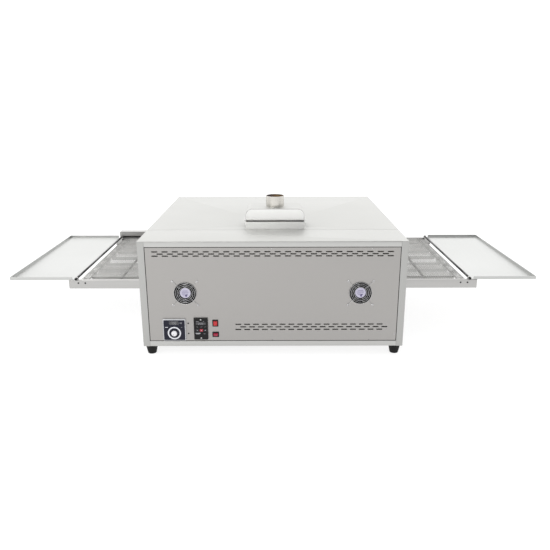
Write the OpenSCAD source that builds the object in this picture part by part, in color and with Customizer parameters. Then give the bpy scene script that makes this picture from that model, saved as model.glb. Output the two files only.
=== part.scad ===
// Conveyor pizza oven: gas-fired baking chamber, wire-mesh conveyor through both sides, and two folding trays.
// X runs along the conveyor, the control panel faces -Y, Z is up and the floor is at Z = 0.

/* [Body] */
// Width of the casing along the conveyor
body_w = 1120; // [1100:1:1160]
// Depth of the casing from control panel to back
body_d = 1130; // [1120:1:1160]
// Height of the casing without its feet
body_h = 465; // [455:1:490]
// Thickness of the casing's sheet steel
sheet = 1.5; // [1:0.1:2]
// Width of the front frame's side posts
post_w = 29; // [24:1:34]
// Height of the front frame's top and bottom bands
band_h = 24; // [20:1:28]
// Distance from the front to the seam between the two top covers
seam_y = 216; // [190:1:240]

/* [Feet] */
// Height of each foot
foot_h = 41; // [36:1:50]
// Diameter of a foot at its top
foot_top_d = 53; // [46:1:60]
// Diameter of a foot where it meets the floor
foot_base_d = 37; // [30:1:42]

/* [Conveyor] */
// Overall length of the two rails
rail_len = 1840; // [1700:10:1900]
// Outer width over the two rails
rails_w = 831; // [800:1:840]
// Height of a rail
rail_h = 40; // [38:1:44]
// Height of the rails' top above the floor
rail_top = 285; // [275:1:295]
// Sideways offset of the conveyor's middle from the casing's middle
conveyor_y = 30.5; // [20:0.5:35]
// Width of the wire belt
belt_w = 798; // [700:1:800]
// Distance between the two end shafts
shaft_span = 1723; // [1650:1:1740]
// Diameter of the end shafts
shaft_d = 16; // [14:1:17]
// Radius of the belt's centreline round its sprockets
belt_r = 20; // [19:0.1:20.5]
// Belt sprockets on each end shaft
belt_sprockets = 7; // [4:1:9]

/* [Trays] */
// Distance from the casing's middle to the outer edge of a tray
tray_reach = 1184; // [1100:1:1220]
// Distance from the casing's middle to a tray's hinge rod
tray_rod_x = 885; // [870:1:895]
// Height of a tray's raised lips
tray_lip = 14; // [10:1:18]
// Diameter of a tray's hinge rod
tray_rod_d = 7; // [6:0.5:8]

/* [Flue] */
// Diameter of the round flue pipe
flue_d = 82; // [70:1:90]
// Height of the pipe's open top above the casing
flue_h = 138; // [130:1:150]
// Width of the flue hood
hood_w = 262; // [240:1:280]
// Depth of the flue hood
hood_d = 160; // [140:1:180]

/* [Controls] */
// Sideways position of each fan from the middle
fan_x = 369.3; // [340:0.1:380]
// Side of a fan's square housing
fan_side = 119; // [117:0.5:120]
// Distance between a fan's mounting screws
fan_pitch = 105; // [104:0.5:106]
// Diameter of the hole in the panel in front of a fan
fan_hole_d = 102; // [98:1:104]
// Side of the temperature controller's square face
thermo_side = 96; // [92:1:98]
// Width of the speed controller's face
speed_w = 60; // [56:1:64]
// Height of the speed controller's face
speed_h = 98; // [94:1:102]

/* [Hidden] */
$fn = 48;
eps = 0.5;

// Casing limits
half_w = body_w / 2;
front_y = -body_d / 2;
back_y = body_d / 2;
base_z = foot_h;
top_z = foot_h + body_h;
seam = front_y + seam_y;
frame_depth = 26;
panel_gap = 2.5;
panel_y = front_y + 1;
open_w = body_w - 2 * post_w;
open_z0 = base_z + band_h;
open_z1 = top_z - band_h;

// Conveyor limits
near_y = conveyor_y - rails_w / 2;
far_y = conveyor_y + rails_w / 2;
rail_web = 2;
rail_flange = 12;
rail_bottom = rail_top - rail_h;
shaft_x = shaft_span / 2;
shaft_r = shaft_d / 2;
shaft_z = rail_top - 23;
belt_thick = 1.2;
belt_teeth = 12;
bearing_screw = 15.5;
tie_pitch = 354;
belt_top = shaft_z + belt_r + belt_thick / 2;
bearing_r = shaft_r + 0.05;

// Baking chamber
tunnel_y0 = near_y - 15;
tunnel_y1 = far_y + 10;
tunnel_z0 = 230;
tunnel_z1 = 385;
chamber_x = 520;
chamber_z0 = 96;
chamber_z1 = 448;
lagging = 26;
wall_z0 = chamber_z0 + sheet + 0.2;
wall_z1 = chamber_z1 - sheet - 0.2;
probe_x = -300;
probe_z = 330;
probe_r = 3;

// Chain drive, outboard of the far rail
chain_y = far_y + 28;
chain_pitch = 9.525;
driven_teeth = 18;
motor_teeth = 12;
driven_r = chain_pitch / (2 * sin(180 / driven_teeth));
motor_r = chain_pitch / (2 * sin(180 / motor_teeth));
motor_x = -498;
motor_z = shaft_z;

// Trays
tray_pin_r = tray_rod_d / 2;
tray_rod_z = rail_top + 6;
tray_plate_x = tray_rod_x + 10;

// Flue
flue_x = 10;
flue_y = front_y + 240 + hood_d / 2;
duct_r = 38;
flue_r = flue_d / 2;
flue_wall = 1.5;
brim_z = top_z + 40;
hood_top = top_z + 90;

// Control positions on the panel
fan_z = 282.3;
thermo_x = -421.5;
thermo_z = 119.2;
dial_z = 105.8;
speed_x = -308.3;
speed_z = 122.6;
button_z = 116.7;
power_x = -246.5;
power_z = 147.3;
power_size = [25, 30];
drive_x = -246.3;
drive_z = 95.7;
drive_size = [28, 23];
slot_len = 26;

module block(low, high) {
    translate(low) cube(high - low);
}

module rod_x(x0, x1, y, z, r) {
    translate([x0, y, z]) rotate([0, 90, 0]) cylinder(h = x1 - x0, r = r);
}

module rod_y(x, y0, y1, z, r) {
    translate([x, y1, z]) rotate([90, 0, 0]) cylinder(h = y1 - y0, r = r);
}

module rod_z(x, y, z0, z1, r) {
    translate([x, y, z0]) cylinder(h = z1 - z0, r = r);
}

// Slot through a sheet facing -Y, with its length along X
module slot(x, z, len, h) {
    block([x - len / 2 + h / 2, front_y - 5, z - h / 2], [x + len / 2 - h / 2, front_y + 10, z + h / 2]);
    for (side = [-1, 1]) rod_y(x + side * (len - h) / 2, front_y - 5, front_y + 10, z, h / 2);
}

// Staggered rows of slots: the middle row sits half a pitch along
module slot_rows(x0, pitch, count, mid_count, mid_shift, rows, h) {
    for (i = [0:count - 1]) {
        slot(x0 + i * pitch, rows[0], slot_len, h);
        slot(x0 + i * pitch, rows[2], slot_len, h);
    }
    for (i = [0:mid_count - 1]) slot(x0 + mid_shift + i * pitch, rows[1], slot_len, h);
}

/* Casing */

module base_pan() color("silver") {
    difference() {
        block([-half_w + 2, front_y + 4.4, base_z], [half_w - 2, back_y - 2, base_z + sheet]);
        for (x = [-1, 1], y = [-1, 1]) rod_z(x * 530, y * 535, base_z - eps, base_z + 5, 4.2);
        for (i = [-6:6]) block([i * 60 - 20, 150, base_z - eps], [i * 60 + 20, 156, base_z + 5]);
    }
    for (y = [-1, 1]) block([-half_w + 4, y * 516 - sheet / 2, base_z + sheet], [half_w - 4, y * 516 + sheet / 2, base_z + 18]);
    for (y = [-300, 30, 360]) difference() {
        block([-500, y - 15, base_z + sheet], [500, y + 15, chamber_z0 - lagging - 0.5]);
        block([-500 - eps, y - 15 + sheet, base_z + sheet], [500 + eps, y + 15 - sheet, chamber_z0 - lagging - 0.5 - sheet]);
    }
}

module front_frame() color("gainsboro") {
    difference() {
        block([-half_w, front_y, base_z], [half_w, front_y + frame_depth, top_z - sheet]);
        block([-open_w / 2, front_y - eps, open_z0], [open_w / 2, front_y + sheet + 1, open_z1]);
        block([-open_w / 2 + 14, front_y - eps, open_z0 + 14], [open_w / 2 - 14, front_y + frame_depth + eps, open_z1 - 14]);
        block([-half_w + sheet, front_y + 4.2, base_z - eps], [half_w - sheet, front_y + frame_depth + eps, top_z + eps]);
    }
}

module front_panel() color("darkgray") {
    x1 = open_w / 2 - panel_gap;
    z0 = open_z0 + panel_gap;
    z1 = open_z1 - panel_gap;
    difference() {
        block([-x1, panel_y, z0], [x1, panel_y + sheet, z1]);
        slot_rows(-488.5, 42.44, 24, 23, 21.8, [462, 452.7, 443.9], 4.6);
        slot_rows(-148.3, 37.8, 17, 17, 21, [141.5, 129.5, 117.8], 4.6);
        for (side = [-1, 1]) {
            rod_y(side * fan_x, front_y - 5, front_y + 10, fan_z, fan_hole_d / 2);
            for (sx = [-1, 1], sz = [-1, 1])
                rod_y(side * fan_x + sx * fan_pitch / 2, front_y - 5, front_y + 10, fan_z + sz * fan_pitch / 2, 2.3);
        }
        block([thermo_x - 45, front_y - 5, thermo_z - 45], [thermo_x + 45, front_y + 10, thermo_z + 45]);
        block([speed_x - 25, front_y - 5, speed_z - 36], [speed_x + 25, front_y + 10, speed_z + 36]);
        block([power_x - 10, front_y - 5, power_z - 12.5], [power_x + 10, front_y + 10, power_z + 12.5]);
        block([drive_x - 12, front_y - 5, drive_z - 9.5], [drive_x + 12, front_y + 10, drive_z + 9.5]);
    }
}

// Side sheet with the conveyor's opening and a slot for the drive chain on the left
module side_panel(side) {
    outer = side * half_w;
    inner = outer - side * sheet;
    x0 = min(inner, outer);
    difference() {
        block([x0, front_y + frame_depth + 0.5, base_z + sheet], [x0 + sheet, back_y - sheet, top_z - sheet - 0.2]);
        block([x0 - eps, tunnel_y0, tunnel_z0], [x0 + sheet + eps, tunnel_y1, tunnel_z1]);
        if (side < 0) block([x0 - eps, chain_y - 12, shaft_z - 30], [x0 + sheet + eps, chain_y + 12, shaft_z + 30]);
        for (i = [0:9]) block([x0 - eps, -540 + i * 12, 440], [x0 + sheet + eps, -534 + i * 12, 470]);
    }
}

module left_side_panel() color("gainsboro") side_panel(-1);

module right_side_panel() color("gainsboro") side_panel(1);

module rear_panel() color("gainsboro") {
    difference() {
        block([-half_w, back_y - sheet, base_z + sheet], [half_w, back_y, top_z - sheet - 0.2]);
        for (row = [0:2], i = [0:11])
            block([-300 + i * 52, back_y - 5, 440 + row * 10], [-268 + i * 52, back_y + 5, 444 + row * 10]);
        rod_y(420, back_y - 5, back_y + 5, 120, 11);
        rod_y(-380, back_y - 5, back_y + 5, 90, 8.2);
    }
}

// Top sheet between two depths
module top_sheet(y0, y1) {
    block([-half_w, y0, top_z - sheet], [half_w, y1, top_z]);
}

module main_top_cover() color("whitesmoke") {
    difference() {
        top_sheet(seam + 1.5, back_y);
        rod_z(flue_x, flue_y, top_z - 5, top_z + 5, duct_r + 6);
    }
}

module front_top_cover() color("whitesmoke") top_sheet(front_y, seam);

/* Baking chamber */

module chamber_liner() color("lightgray") {
    block([-chamber_x, tunnel_y0, chamber_z0], [chamber_x, tunnel_y1, chamber_z0 + sheet]);
    difference() {
        block([-chamber_x, tunnel_y0, chamber_z1 - sheet], [chamber_x, tunnel_y1, chamber_z1]);
        rod_z(flue_x, flue_y, chamber_z1 - 5, chamber_z1 + 5, duct_r + 2);
    }
    difference() {
        block([-chamber_x, tunnel_y0, wall_z0], [chamber_x, tunnel_y0 + sheet, wall_z1]);
        rod_y(probe_x, tunnel_y0 - 5, tunnel_y0 + 5, probe_z, probe_r + 0.3);
    }
    difference() {
        block([-chamber_x, tunnel_y1 - sheet, wall_z0], [chamber_x, tunnel_y1, wall_z1]);
        for (i = [0:5]) rod_y(burner_x(i), tunnel_y1 - 5, tunnel_y1 + 5, burner_z(i), 11);
    }
}

// Plates that close the chamber's ends below and above the conveyor's opening
module chamber_ends() color("lightgray") {
    for (side = [-1, 1]) {
        x0 = side > 0 ? chamber_x - 4 : -chamber_x + 4 - sheet;
        block([x0, tunnel_y0 + sheet, wall_z0], [x0 + sheet, tunnel_y1 - sheet, tunnel_z0]);
        block([x0, tunnel_y0 + sheet, tunnel_z1], [x0 + sheet, tunnel_y1 - sheet, wall_z1]);
    }
}

module insulation_slabs() color("khaki") {
    y0 = tunnel_y0 - 0.5;
    y1 = tunnel_y1 + 0.5;
    block([-chamber_x, tunnel_y0, chamber_z0 - lagging - 0.5], [chamber_x, tunnel_y1, chamber_z0 - 0.5]);
    difference() {
        block([-chamber_x, tunnel_y0, chamber_z1 + 0.5], [chamber_x, tunnel_y1, chamber_z1 + lagging]);
        rod_z(flue_x, flue_y, chamber_z1 - 5, chamber_z1 + lagging + 5, duct_r + 3);
    }
    difference() {
        block([-chamber_x, y0 - lagging, chamber_z0], [chamber_x, y0, chamber_z1]);
        rod_y(probe_x, y0 - lagging - 5, y0 + 5, probe_z, probe_r + 0.3);
    }
    difference() {
        block([-chamber_x + 100, y1, chamber_z0], [chamber_x, y1 + lagging, chamber_z1]);
        for (i = [0:5]) rod_y(burner_x(i), y1 - 5, y1 + lagging + 5, burner_z(i), 11);
    }
    for (side = [-1, 1]) {
        x0 = side > 0 ? chamber_x + 1 : -chamber_x - lagging - 1;
        block([x0, tunnel_y0, chamber_z0], [x0 + lagging, tunnel_y1, tunnel_z0 - 1]);
        block([x0, tunnel_y0, tunnel_z1 + 1], [x0 + lagging, tunnel_y1, chamber_z1]);
    }
}

/* Flue */

module flue_duct() color("silver") {
    difference() {
        rod_z(flue_x, flue_y, chamber_z1 - sheet, top_z + 4, duct_r);
        rod_z(flue_x, flue_y, chamber_z1 - 5, top_z + 10, duct_r - 1.2);
    }
}

module flue_base() color("gainsboro") {
    w = (hood_w + 3) / 2;
    d = hood_d / 2;
    difference() {
        translate([flue_x, flue_y, 0]) block([-w, -d, top_z], [w, d, top_z + 32]);
        translate([flue_x, flue_y, 0]) block([-w + sheet, -d + sheet, top_z + sheet], [w - sheet, d - sheet, top_z + 40]);
        rod_z(flue_x, flue_y, top_z - 5, top_z + 10, duct_r + 1);
    }
    for (sx = [-1, 1], sy = [-1, 1]) translate([flue_x + sx * (w - sheet / 2), flue_y + sy * 45, 0])
        block([-sheet / 2, -8, top_z + 30], [sheet / 2, 8, brim_z]);
}

// Hood outline across X: straight sides below and rounded shoulders above
module hood_shape(inset) {
    w = hood_w / 2 - inset;
    shoulder = 30 - inset;
    top = hood_top - inset;
    translate([-w, brim_z - eps * inset]) square([2 * w, top - shoulder - brim_z + eps * inset]);
    translate([-w + shoulder, top - shoulder - eps]) square([2 * (w - shoulder), shoulder + eps]);
    intersection() {
        for (side = [-1, 1]) translate([side * (w - shoulder), top - shoulder]) circle(r = shoulder);
        translate([-w, brim_z]) square([2 * w, top - brim_z]);
    }
}

module flue_hood() color("gainsboro") {
    brim = 7.5;
    difference() {
        union() {
            translate([flue_x, flue_y + hood_d / 2, 0]) rotate([90, 0, 0]) linear_extrude(hood_d) hood_shape(0);
            translate([flue_x, flue_y, 0])
                block([-hood_w / 2 - brim, -hood_d / 2 - brim, brim_z], [hood_w / 2 + brim, hood_d / 2 + brim, brim_z + sheet]);
        }
        translate([flue_x, flue_y + hood_d / 2 - sheet, 0]) rotate([90, 0, 0])
            linear_extrude(hood_d - 2 * sheet) hood_shape(sheet);
        translate([flue_x, flue_y, 0])
            block([-hood_w / 2 + sheet, -hood_d / 2 + sheet, brim_z - eps], [hood_w / 2 - sheet, hood_d / 2 - sheet, brim_z + 5]);
        rod_z(flue_x, flue_y, hood_top - 10, hood_top + 5, flue_r - 1);
    }
}

// Round pipe with its lower end swaged down to fit the hood's hole
module flue_pipe() color("lightgray") {
    difference() {
        union() {
            rod_z(flue_x, flue_y, hood_top - 8, hood_top + 1, flue_r - 1);
            rod_z(flue_x, flue_y, hood_top + 0.2, top_z + flue_h, flue_r);
        }
        rod_z(flue_x, flue_y, hood_top - 20, hood_top + 2, flue_r - flue_wall - 1);
        rod_z(flue_x, flue_y, hood_top + 1.2, top_z + flue_h + 5, flue_r - flue_wall);
    }
}

module feet() color("black") {
    for (x = [-1, 1], y = [-1, 1]) translate([x * 530, y * 535, 0]) difference() {
        rotate_extrude() polygon([[0, 0], [foot_base_d / 2 - 3, 0], [foot_base_d / 2, 3], [foot_top_d / 2, foot_h - 4],
            [foot_top_d / 2, foot_h], [0, foot_h]]);
        translate([0, 0, 12]) cylinder(h = foot_h, r = 4.1);
    }
}

/* Conveyor */

// Channel rail with its flanges turned towards the belt
module rail(side) {
    outer = side < 0 ? near_y : far_y;
    web = outer - side * rail_web;
    lip = outer - side * rail_flange;
    half = rail_len / 2;
    difference() {
        block([-half, min(outer, lip), rail_bottom], [half, max(outer, lip), rail_top]);
        block([-half - eps, min(web, lip - side * eps), rail_bottom + rail_web],
            [half + eps, max(web, lip - side * eps), rail_top - rail_web]);
        for (sx = [-1, 1]) {
            for (step = [-1, 1]) rod_y(sx * shaft_x + step * bearing_screw, outer - 20, outer + 20, rail_top - 14, 2.2);
        }
        if (side > 0) rod_y(-shaft_x, outer - 5, outer + 5, shaft_z, shaft_r + 1);
        for (i = [-2:2]) rod_y(i * tie_pitch, outer - 20, outer + 20, shaft_z, 3.1);
    }
}

module near_rail() color("lightgray") rail(-1);

module far_rail() color("lightgray") rail(1);

module cross_rods() color("dimgray") {
    for (i = [-2:2]) rod_y(i * tie_pitch, near_y + rail_web, far_y - rail_web, shaft_z, 5);
}

module belt_support_bars() color("silver") {
    for (i = [0:6]) {
        y = conveyor_y + (i - 3) * 115;
        block([-835, y - 2, shaft_z + 5], [835, y + 2, belt_top - belt_thick - 0.4]);
    }
}

// Blocks inside the side sheets that carry the rails through the casing
module rail_supports() color("silver") {
    for (sx = [-1, 1], side = [-1, 1]) {
        y0 = side < 0 ? near_y : far_y - 14;
        x0 = sx < 0 ? -half_w + sheet : half_w - sheet - 10;
        block([x0, y0, rail_bottom - 30], [x0 + 10, y0 + 14, rail_bottom]);
    }
}

// Closed loop shape round two shafts, seen along Y
module loop_shape(span, r) {
    for (side = [-1, 1]) translate([side * span / 2, 0]) circle(r = r);
    translate([-span / 2, -r]) square([span, 2 * r]);
}

module wire_belt() color("silver") {
    translate([0, conveyor_y + belt_w / 2, shaft_z]) rotate([90, 0, 0]) difference() {
        linear_extrude(belt_w) loop_shape(shaft_span, belt_r + belt_thick / 2);
        translate([0, 0, -eps]) linear_extrude(belt_w + 2 * eps) loop_shape(shaft_span, belt_r - belt_thick / 2);
    }
}

// Bearing blocks screwed inside the rails, level with the ends of the belt
module shaft_bearings() color("dimgray") {
    for (sx = [-1, 1], side = [-1, 1]) {
        y0 = side < 0 ? near_y + rail_web : far_y - rail_web - 12;
        difference() {
            union() {
                block([sx * shaft_x - 21, y0, shaft_z + 1], [sx * shaft_x + 21, y0 + 12, rail_top - 4]);
                rod_y(sx * shaft_x, y0, y0 + 12, shaft_z, 13);
            }
            rod_y(sx * shaft_x, y0 - 5, y0 + 20, shaft_z, bearing_r);
        }
    }
}

module drive_shaft() color("gray") {
    rod_y(-shaft_x, near_y + rail_web + 0.5, chain_y + 8, shaft_z, shaft_r);
}

module idler_shaft() color("gray") {
    rod_y(shaft_x, near_y + rail_web + 0.5, far_y - rail_web - 0.5, shaft_z, shaft_r);
}

// Toothed wheel in the XZ plane, centred on its own axis
module sprocket(teeth, root_r, tip_r, bore_r, thick) {
    rotate([90, 0, 0]) translate([0, 0, -thick / 2]) linear_extrude(thick) difference() {
        union() {
            circle(r = root_r);
            for (i = [0:teeth - 1]) rotate(i * 360 / teeth + 180 / teeth)
                polygon([[root_r - 1, -tooth_half(root_r, teeth)], [tip_r, -tooth_half(tip_r, teeth) / 3],
                    [tip_r, tooth_half(tip_r, teeth) / 3], [root_r - 1, tooth_half(root_r, teeth)]]);
        }
        circle(r = bore_r);
    }
}

function tooth_half(r, teeth) = 0.55 * 3.1416 * r / teeth;

module belt_sprockets(x) {
    for (i = [0:belt_sprockets - 1]) {
        y = conveyor_y + (i - (belt_sprockets - 1) / 2) * (belt_w - 60) / (belt_sprockets - 1);
        translate([x, y, shaft_z]) sprocket(belt_teeth, belt_r - 3.4, belt_r - 1.8, shaft_r, 7);
    }
}

module drive_belt_sprockets() color("lightgray") belt_sprockets(-shaft_x);

module idler_belt_sprockets() color("lightgray") belt_sprockets(shaft_x);

module driven_chain_sprocket() color("dimgray") {
    translate([-shaft_x, chain_y, shaft_z]) {
        sprocket(driven_teeth, driven_r - 3, driven_r + 2.6, shaft_r, 3.6);
        translate([0, -1.8, 0]) rotate([90, 0, 0]) difference() {
            cylinder(h = 7, r = 15);
            translate([0, 0, -eps]) cylinder(h = 9, r = shaft_r);
        }
    }
}

module motor_sprocket() color("dimgray") {
    translate([motor_x, chain_y, motor_z]) sprocket(motor_teeth, motor_r - 3, motor_r + 2.6, 5, 3.6);
    rod_y(motor_x, chain_y - 5, chain_y + 27, motor_z, 5);
}

// Two rows of link plates running round both chain sprockets
module roller_chain() color("dimgray") {
    span = motor_x + shaft_x;
    slope = asin((driven_r - motor_r) / span);
    for (side = [-1, 1]) translate([-shaft_x, chain_y + side * 3 + 0.5, shaft_z]) rotate([90, 0, 0]) linear_extrude(1)
        difference() {
            chain_outline(span, slope, 4);
            chain_outline(span, slope, -4);
        }
}

// Area inside the chain's path, grown by a margin
module chain_outline(span, slope, margin) {
    big = driven_r + margin;
    small = motor_r + margin;
    in_big = big - 0.1;
    in_small = small - 0.1;
    circle(r = big);
    translate([span, 0]) circle(r = small);
    polygon([[in_big * sin(slope), in_big * cos(slope)], [span + in_small * sin(slope), in_small * cos(slope)],
        [span + in_small * sin(slope), -in_small * cos(slope)], [in_big * sin(slope), -in_big * cos(slope)]]);
}

module chain_guard() color("gainsboro") {
    y0 = far_y + 4;
    difference() {
        block([-897, y0, shaft_z - 42], [-half_w, chain_y + 18, rail_top + 36]);
        block([-897 + sheet, y0 + sheet, shaft_z - 42 + sheet], [-half_w + 5, chain_y + 18 - sheet, rail_top + 36 - sheet]);
        rod_y(-shaft_x, y0 - 5, y0 + 5, shaft_z, shaft_r + 12);
        block([-884, y0 - 1, rail_top + 1], [-half_w - 14, y0 + sheet + 1, rail_top + 11]);
    }
}

// Gearhead and motor standing behind the chain, on a bracket from the base pan
module gear_motor() color("dimgray") {
    y0 = chain_y + 12;
    difference() {
        block([motor_x - 30, y0, motor_z - 38], [motor_x + 30, y0 + 30, motor_z + 30]);
        rod_y(motor_x, y0 - 5, y0 + 16, motor_z, 5.05);
    }
    rod_y(motor_x, y0 + 30, y0 + 74, motor_z, 29);
    block([motor_x - 36, y0, base_z + sheet], [motor_x + 36, y0 + 3, motor_z - 38]);
    block([motor_x - 36, y0 + 3, base_z + sheet], [motor_x + 36, y0 + 26, base_z + sheet + 3]);
}

/* Trays */

module tray_hinge_brackets() color("silver") {
    for (sx = [-1, 1], side = [-1, 1]) {
        outer = side < 0 ? near_y : far_y;
        y0 = side < 0 ? outer + 1 : outer - 11;
        difference() {
            block([sx * tray_rod_x - 7, y0, rail_top], [sx * tray_rod_x + 7, y0 + 10, tray_rod_z + 6.5]);
            rod_y(sx * tray_rod_x, y0 - 5, y0 + 15, tray_rod_z, tray_pin_r + 0.05);
        }
    }
}

module tray_rod(side) {
    rod_y(side * tray_rod_x, near_y - 4, far_y + 0.5, tray_rod_z, tray_pin_r);
    rod_y(side * tray_rod_x, near_y - 8, near_y - 4, tray_rod_z, tray_pin_r + 2.5);
    rod_y(side * tray_rod_x, far_y + 0.5, far_y + 3, tray_rod_z, tray_pin_r + 2.5);
}

module left_tray_rod() color("black") tray_rod(-1);

module right_tray_rod() color("black") tray_rod(1);

// Shallow tray with three raised lips, knuckles at its inner end and a turned-down end flange
module tray(side) {
    z0 = rail_top + 0.3;
    x0 = side > 0 ? tray_plate_x : -tray_reach;
    x1 = side > 0 ? tray_reach : -tray_plate_x;
    end_x = side > 0 ? x1 - sheet : x0;
    block([x0, near_y, z0], [x1, far_y, z0 + sheet]);
    block([end_x, near_y, z0 + sheet], [end_x + sheet, far_y, z0 + tray_lip]);
    for (y = [near_y, far_y - sheet])
        block([side > 0 ? x0 + 8 : x0, y, z0 + sheet], [side > 0 ? x1 : x1 - 8, y + sheet, z0 + tray_lip]);
    for (i = [-1:1]) {
        y = conveyor_y + i * 340;
        difference() {
            union() {
                rod_y(side * tray_rod_x, y - 12, y + 12, tray_rod_z, tray_pin_r + sheet);
                block([min(side * tray_rod_x, side * (tray_plate_x + 1)), y - 12, z0 + 0.8],
                    [max(side * tray_rod_x, side * (tray_plate_x + 1)), y + 12, z0 + 0.8 + sheet]);
            }
            rod_y(side * tray_rod_x, y - 15, y + 15, tray_rod_z, tray_pin_r);
        }
    }
}

module left_tray() color("whitesmoke") tray(-1);

module right_tray() color("whitesmoke") tray(1);

/* Gas system */

// Tubes 0 to 3 lie below the belt, 4 and 5 above it
function burner_x(i) = i < 4 ? -330 + 220 * i : (i == 4 ? -180 : 200);

function burner_z(i) = i < 4 ? 160 : 418;

module burner_tubes() color("dimgray") {
    for (i = [0:5]) {
        difference() {
            rod_y(burner_x(i), tunnel_y0 + 25, tunnel_y1 + 8, burner_z(i), 10.5);
            rod_y(burner_x(i), tunnel_y0 + 28, tunnel_y1 + 10, burner_z(i), 9);
        }
        rod_y(burner_x(i), tunnel_y0 + sheet, tunnel_y0 + 25.5, burner_z(i), 5);
    }
}

module gas_manifold() color("darkgoldenrod") {
    y = tunnel_y1 + 52;
    rod_x(-370, 440, y, 160, 10);
    rod_x(-200, 440, y, 418, 10);
    rod_z(430, y, 160, 418, 8);
    rod_z(405, y, 149, 160, 7);
    for (i = [0:5]) rod_y(burner_x(i), tunnel_y1 + 14, y - 9, burner_z(i), 5);
}

module gas_valve() color("silver") {
    block([396, 500, 96], [444, 545, 149]);
    rod_x(366, 396, 522, 122, 14);
    rod_z(420, 522, 76, 96, 16);
}

module gas_inlet() color("goldenrod") {
    difference() {
        union() {
            rod_y(420, 545, back_y + 18, 120, 10.5);
            translate([420, back_y + 0.2, 120]) rotate([-90, 0, 0]) cylinder(h = 4, r = 16, $fn = 6);
        }
        rod_y(420, 550, back_y + 20, 120, 7.5);
    }
}

/* Electrics */

module ignition_module() color("ivory") {
    block([-60, -505, base_z + 18], [60, -440, base_z + 70]);
    for (side = [-1, 1]) block([side * 50 - 6, -497, base_z + sheet], [side * 50 + 6, -448, base_z + 18]);
}

module terminal_block() color("black") {
    for (i = [0:5]) block([140 + i * 16, -505, base_z + sheet], [154 + i * 16, -475, base_z + 26]);
    block([136, -510, base_z + sheet], [139.5, -470, base_z + 30]);
    block([236.5, -510, base_z + sheet], [240, -470, base_z + 30]);
}

module cable_gland() color("black") {
    difference() {
        union() {
            rod_y(-380, back_y - 12, back_y + 12, 90, 8);
            translate([-380, back_y + 0.2, 90]) rotate([-90, 0, 0]) cylinder(h = 6, r = 12, $fn = 6);
            translate([-380, back_y - 7, 90]) rotate([-90, 0, 0]) cylinder(h = 5, r = 12, $fn = 6);
            rod_y(-380, back_y + 12, back_y + 17, 90, 9.5);
        }
        rod_y(-380, back_y - 20, back_y + 20, 90, 5);
    }
}

module thermocouple() color("silver") {
    rod_y(probe_x, tunnel_y0 - 60, tunnel_y0 + 22, probe_z, probe_r);
    rod_y(probe_x, tunnel_y0 - 32, tunnel_y0 - 27.2, probe_z, 9);
}

/* Fans */

module fan_housing(x) {
    s = fan_side / 2;
    y0 = panel_y + sheet + 0.3;
    y1 = y0 + 25;
    difference() {
        block([x - s, y0, fan_z - s], [x + s, y1, fan_z + s]);
        rod_y(x, y0 - 5, y1 + 5, fan_z, 57);
        for (sx = [-1, 1], sz = [-1, 1]) rod_y(x + sx * fan_pitch / 2, y0 - 5, y1 + 5, fan_z + sz * fan_pitch / 2, 2.3);
    }
    difference() {
        union() {
            rod_y(x, y0, y0 + 5, fan_z, 24);
            for (a = [45:90:315]) translate([x, y0 + 1, fan_z]) rotate([0, a, 0]) block([15, 0, -3], [57, 3, 3]);
        }
        rod_y(x, y0 + 3, y0 + 10, fan_z, 4.1);
    }
}

module fan_housings() color("black") {
    for (side = [-1, 1]) fan_housing(side * fan_x);
}

module fan_rotor(x) {
    y0 = panel_y + sheet + 0.3;
    rod_y(x, y0 + 5.5, y0 + 24, fan_z, 21);
    rod_y(x, y0 + 3.3, y0 + 5.5, fan_z, 4.05);
    for (i = [0:6]) translate([x, y0 + 15, fan_z]) rotate([0, i * 360 / 7, 0]) rotate([35, 0, 0])
        block([19, -0.9, -13], [54.5, 0.9, 13]);
}

module left_fan_rotor() color("black") fan_rotor(-fan_x);

module right_fan_rotor() color("black") fan_rotor(fan_x);

// Wire finger guard: three rings, a hub ring and four arms out to the screws
module fan_guard(x) {
    y = front_y - 4;
    for (r = [26, 33, 40, 47, 54]) translate([x, y, fan_z]) rotate([90, 0, 0]) rotate_extrude() translate([r, 0]) circle(r = 1);
    for (sx = [-1, 1], sz = [-1, 1]) {
        a = sz * sx * 45 + (sx < 0 ? 180 : 0);
        translate([x, y + 1.6, fan_z]) rotate([0, -a, 0]) rotate([0, 90, 0]) translate([0, 0, 25]) cylinder(h = 45, r = 1);
        translate([x + sx * fan_pitch / 2, panel_y - 0.2, fan_z + sz * fan_pitch / 2]) rotate([90, 0, 0]) difference() {
            cylinder(h = 2.4, r = 5);
            translate([0, 0, -eps]) cylinder(h = 4, r = 2.3);
        }
    }
}

module fan_guards() color("silver") {
    for (side = [-1, 1]) fan_guard(side * fan_x);
}

/* Controls */

module temperature_controller() color("midnightblue") {
    s = thermo_side / 2;
    difference() {
        block([thermo_x - s, front_y - 9, thermo_z - s], [thermo_x + s, panel_y, thermo_z + s]);
        block([thermo_x - 19, front_y - 10, 145], [thermo_x + 19, front_y - 8, 159]);
        rod_y(thermo_x - 0.5, front_y - 10, front_y + 5, dial_z, 4.1);
    }
    block([thermo_x - 44, panel_y, thermo_z - 38.5], [thermo_x + 44, front_y + 75, thermo_z + 44]);
}

module controller_windows() color("dimgray") {
    block([thermo_x - 18.5, front_y - 8.8, 145.5], [thermo_x + 18.5, front_y - 8, 158.5]);
    block([speed_x - 21, front_y - 4.8, 141.5], [speed_x + 21, front_y - 4, 152.5]);
}

module temperature_knob() color("whitesmoke") {
    x = thermo_x - 0.5;
    rod_y(x, front_y - 18, front_y - 9.5, dial_z, 12);
    rod_y(x, front_y - 9.6, front_y - 2, dial_z, 4.05);
}

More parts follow.
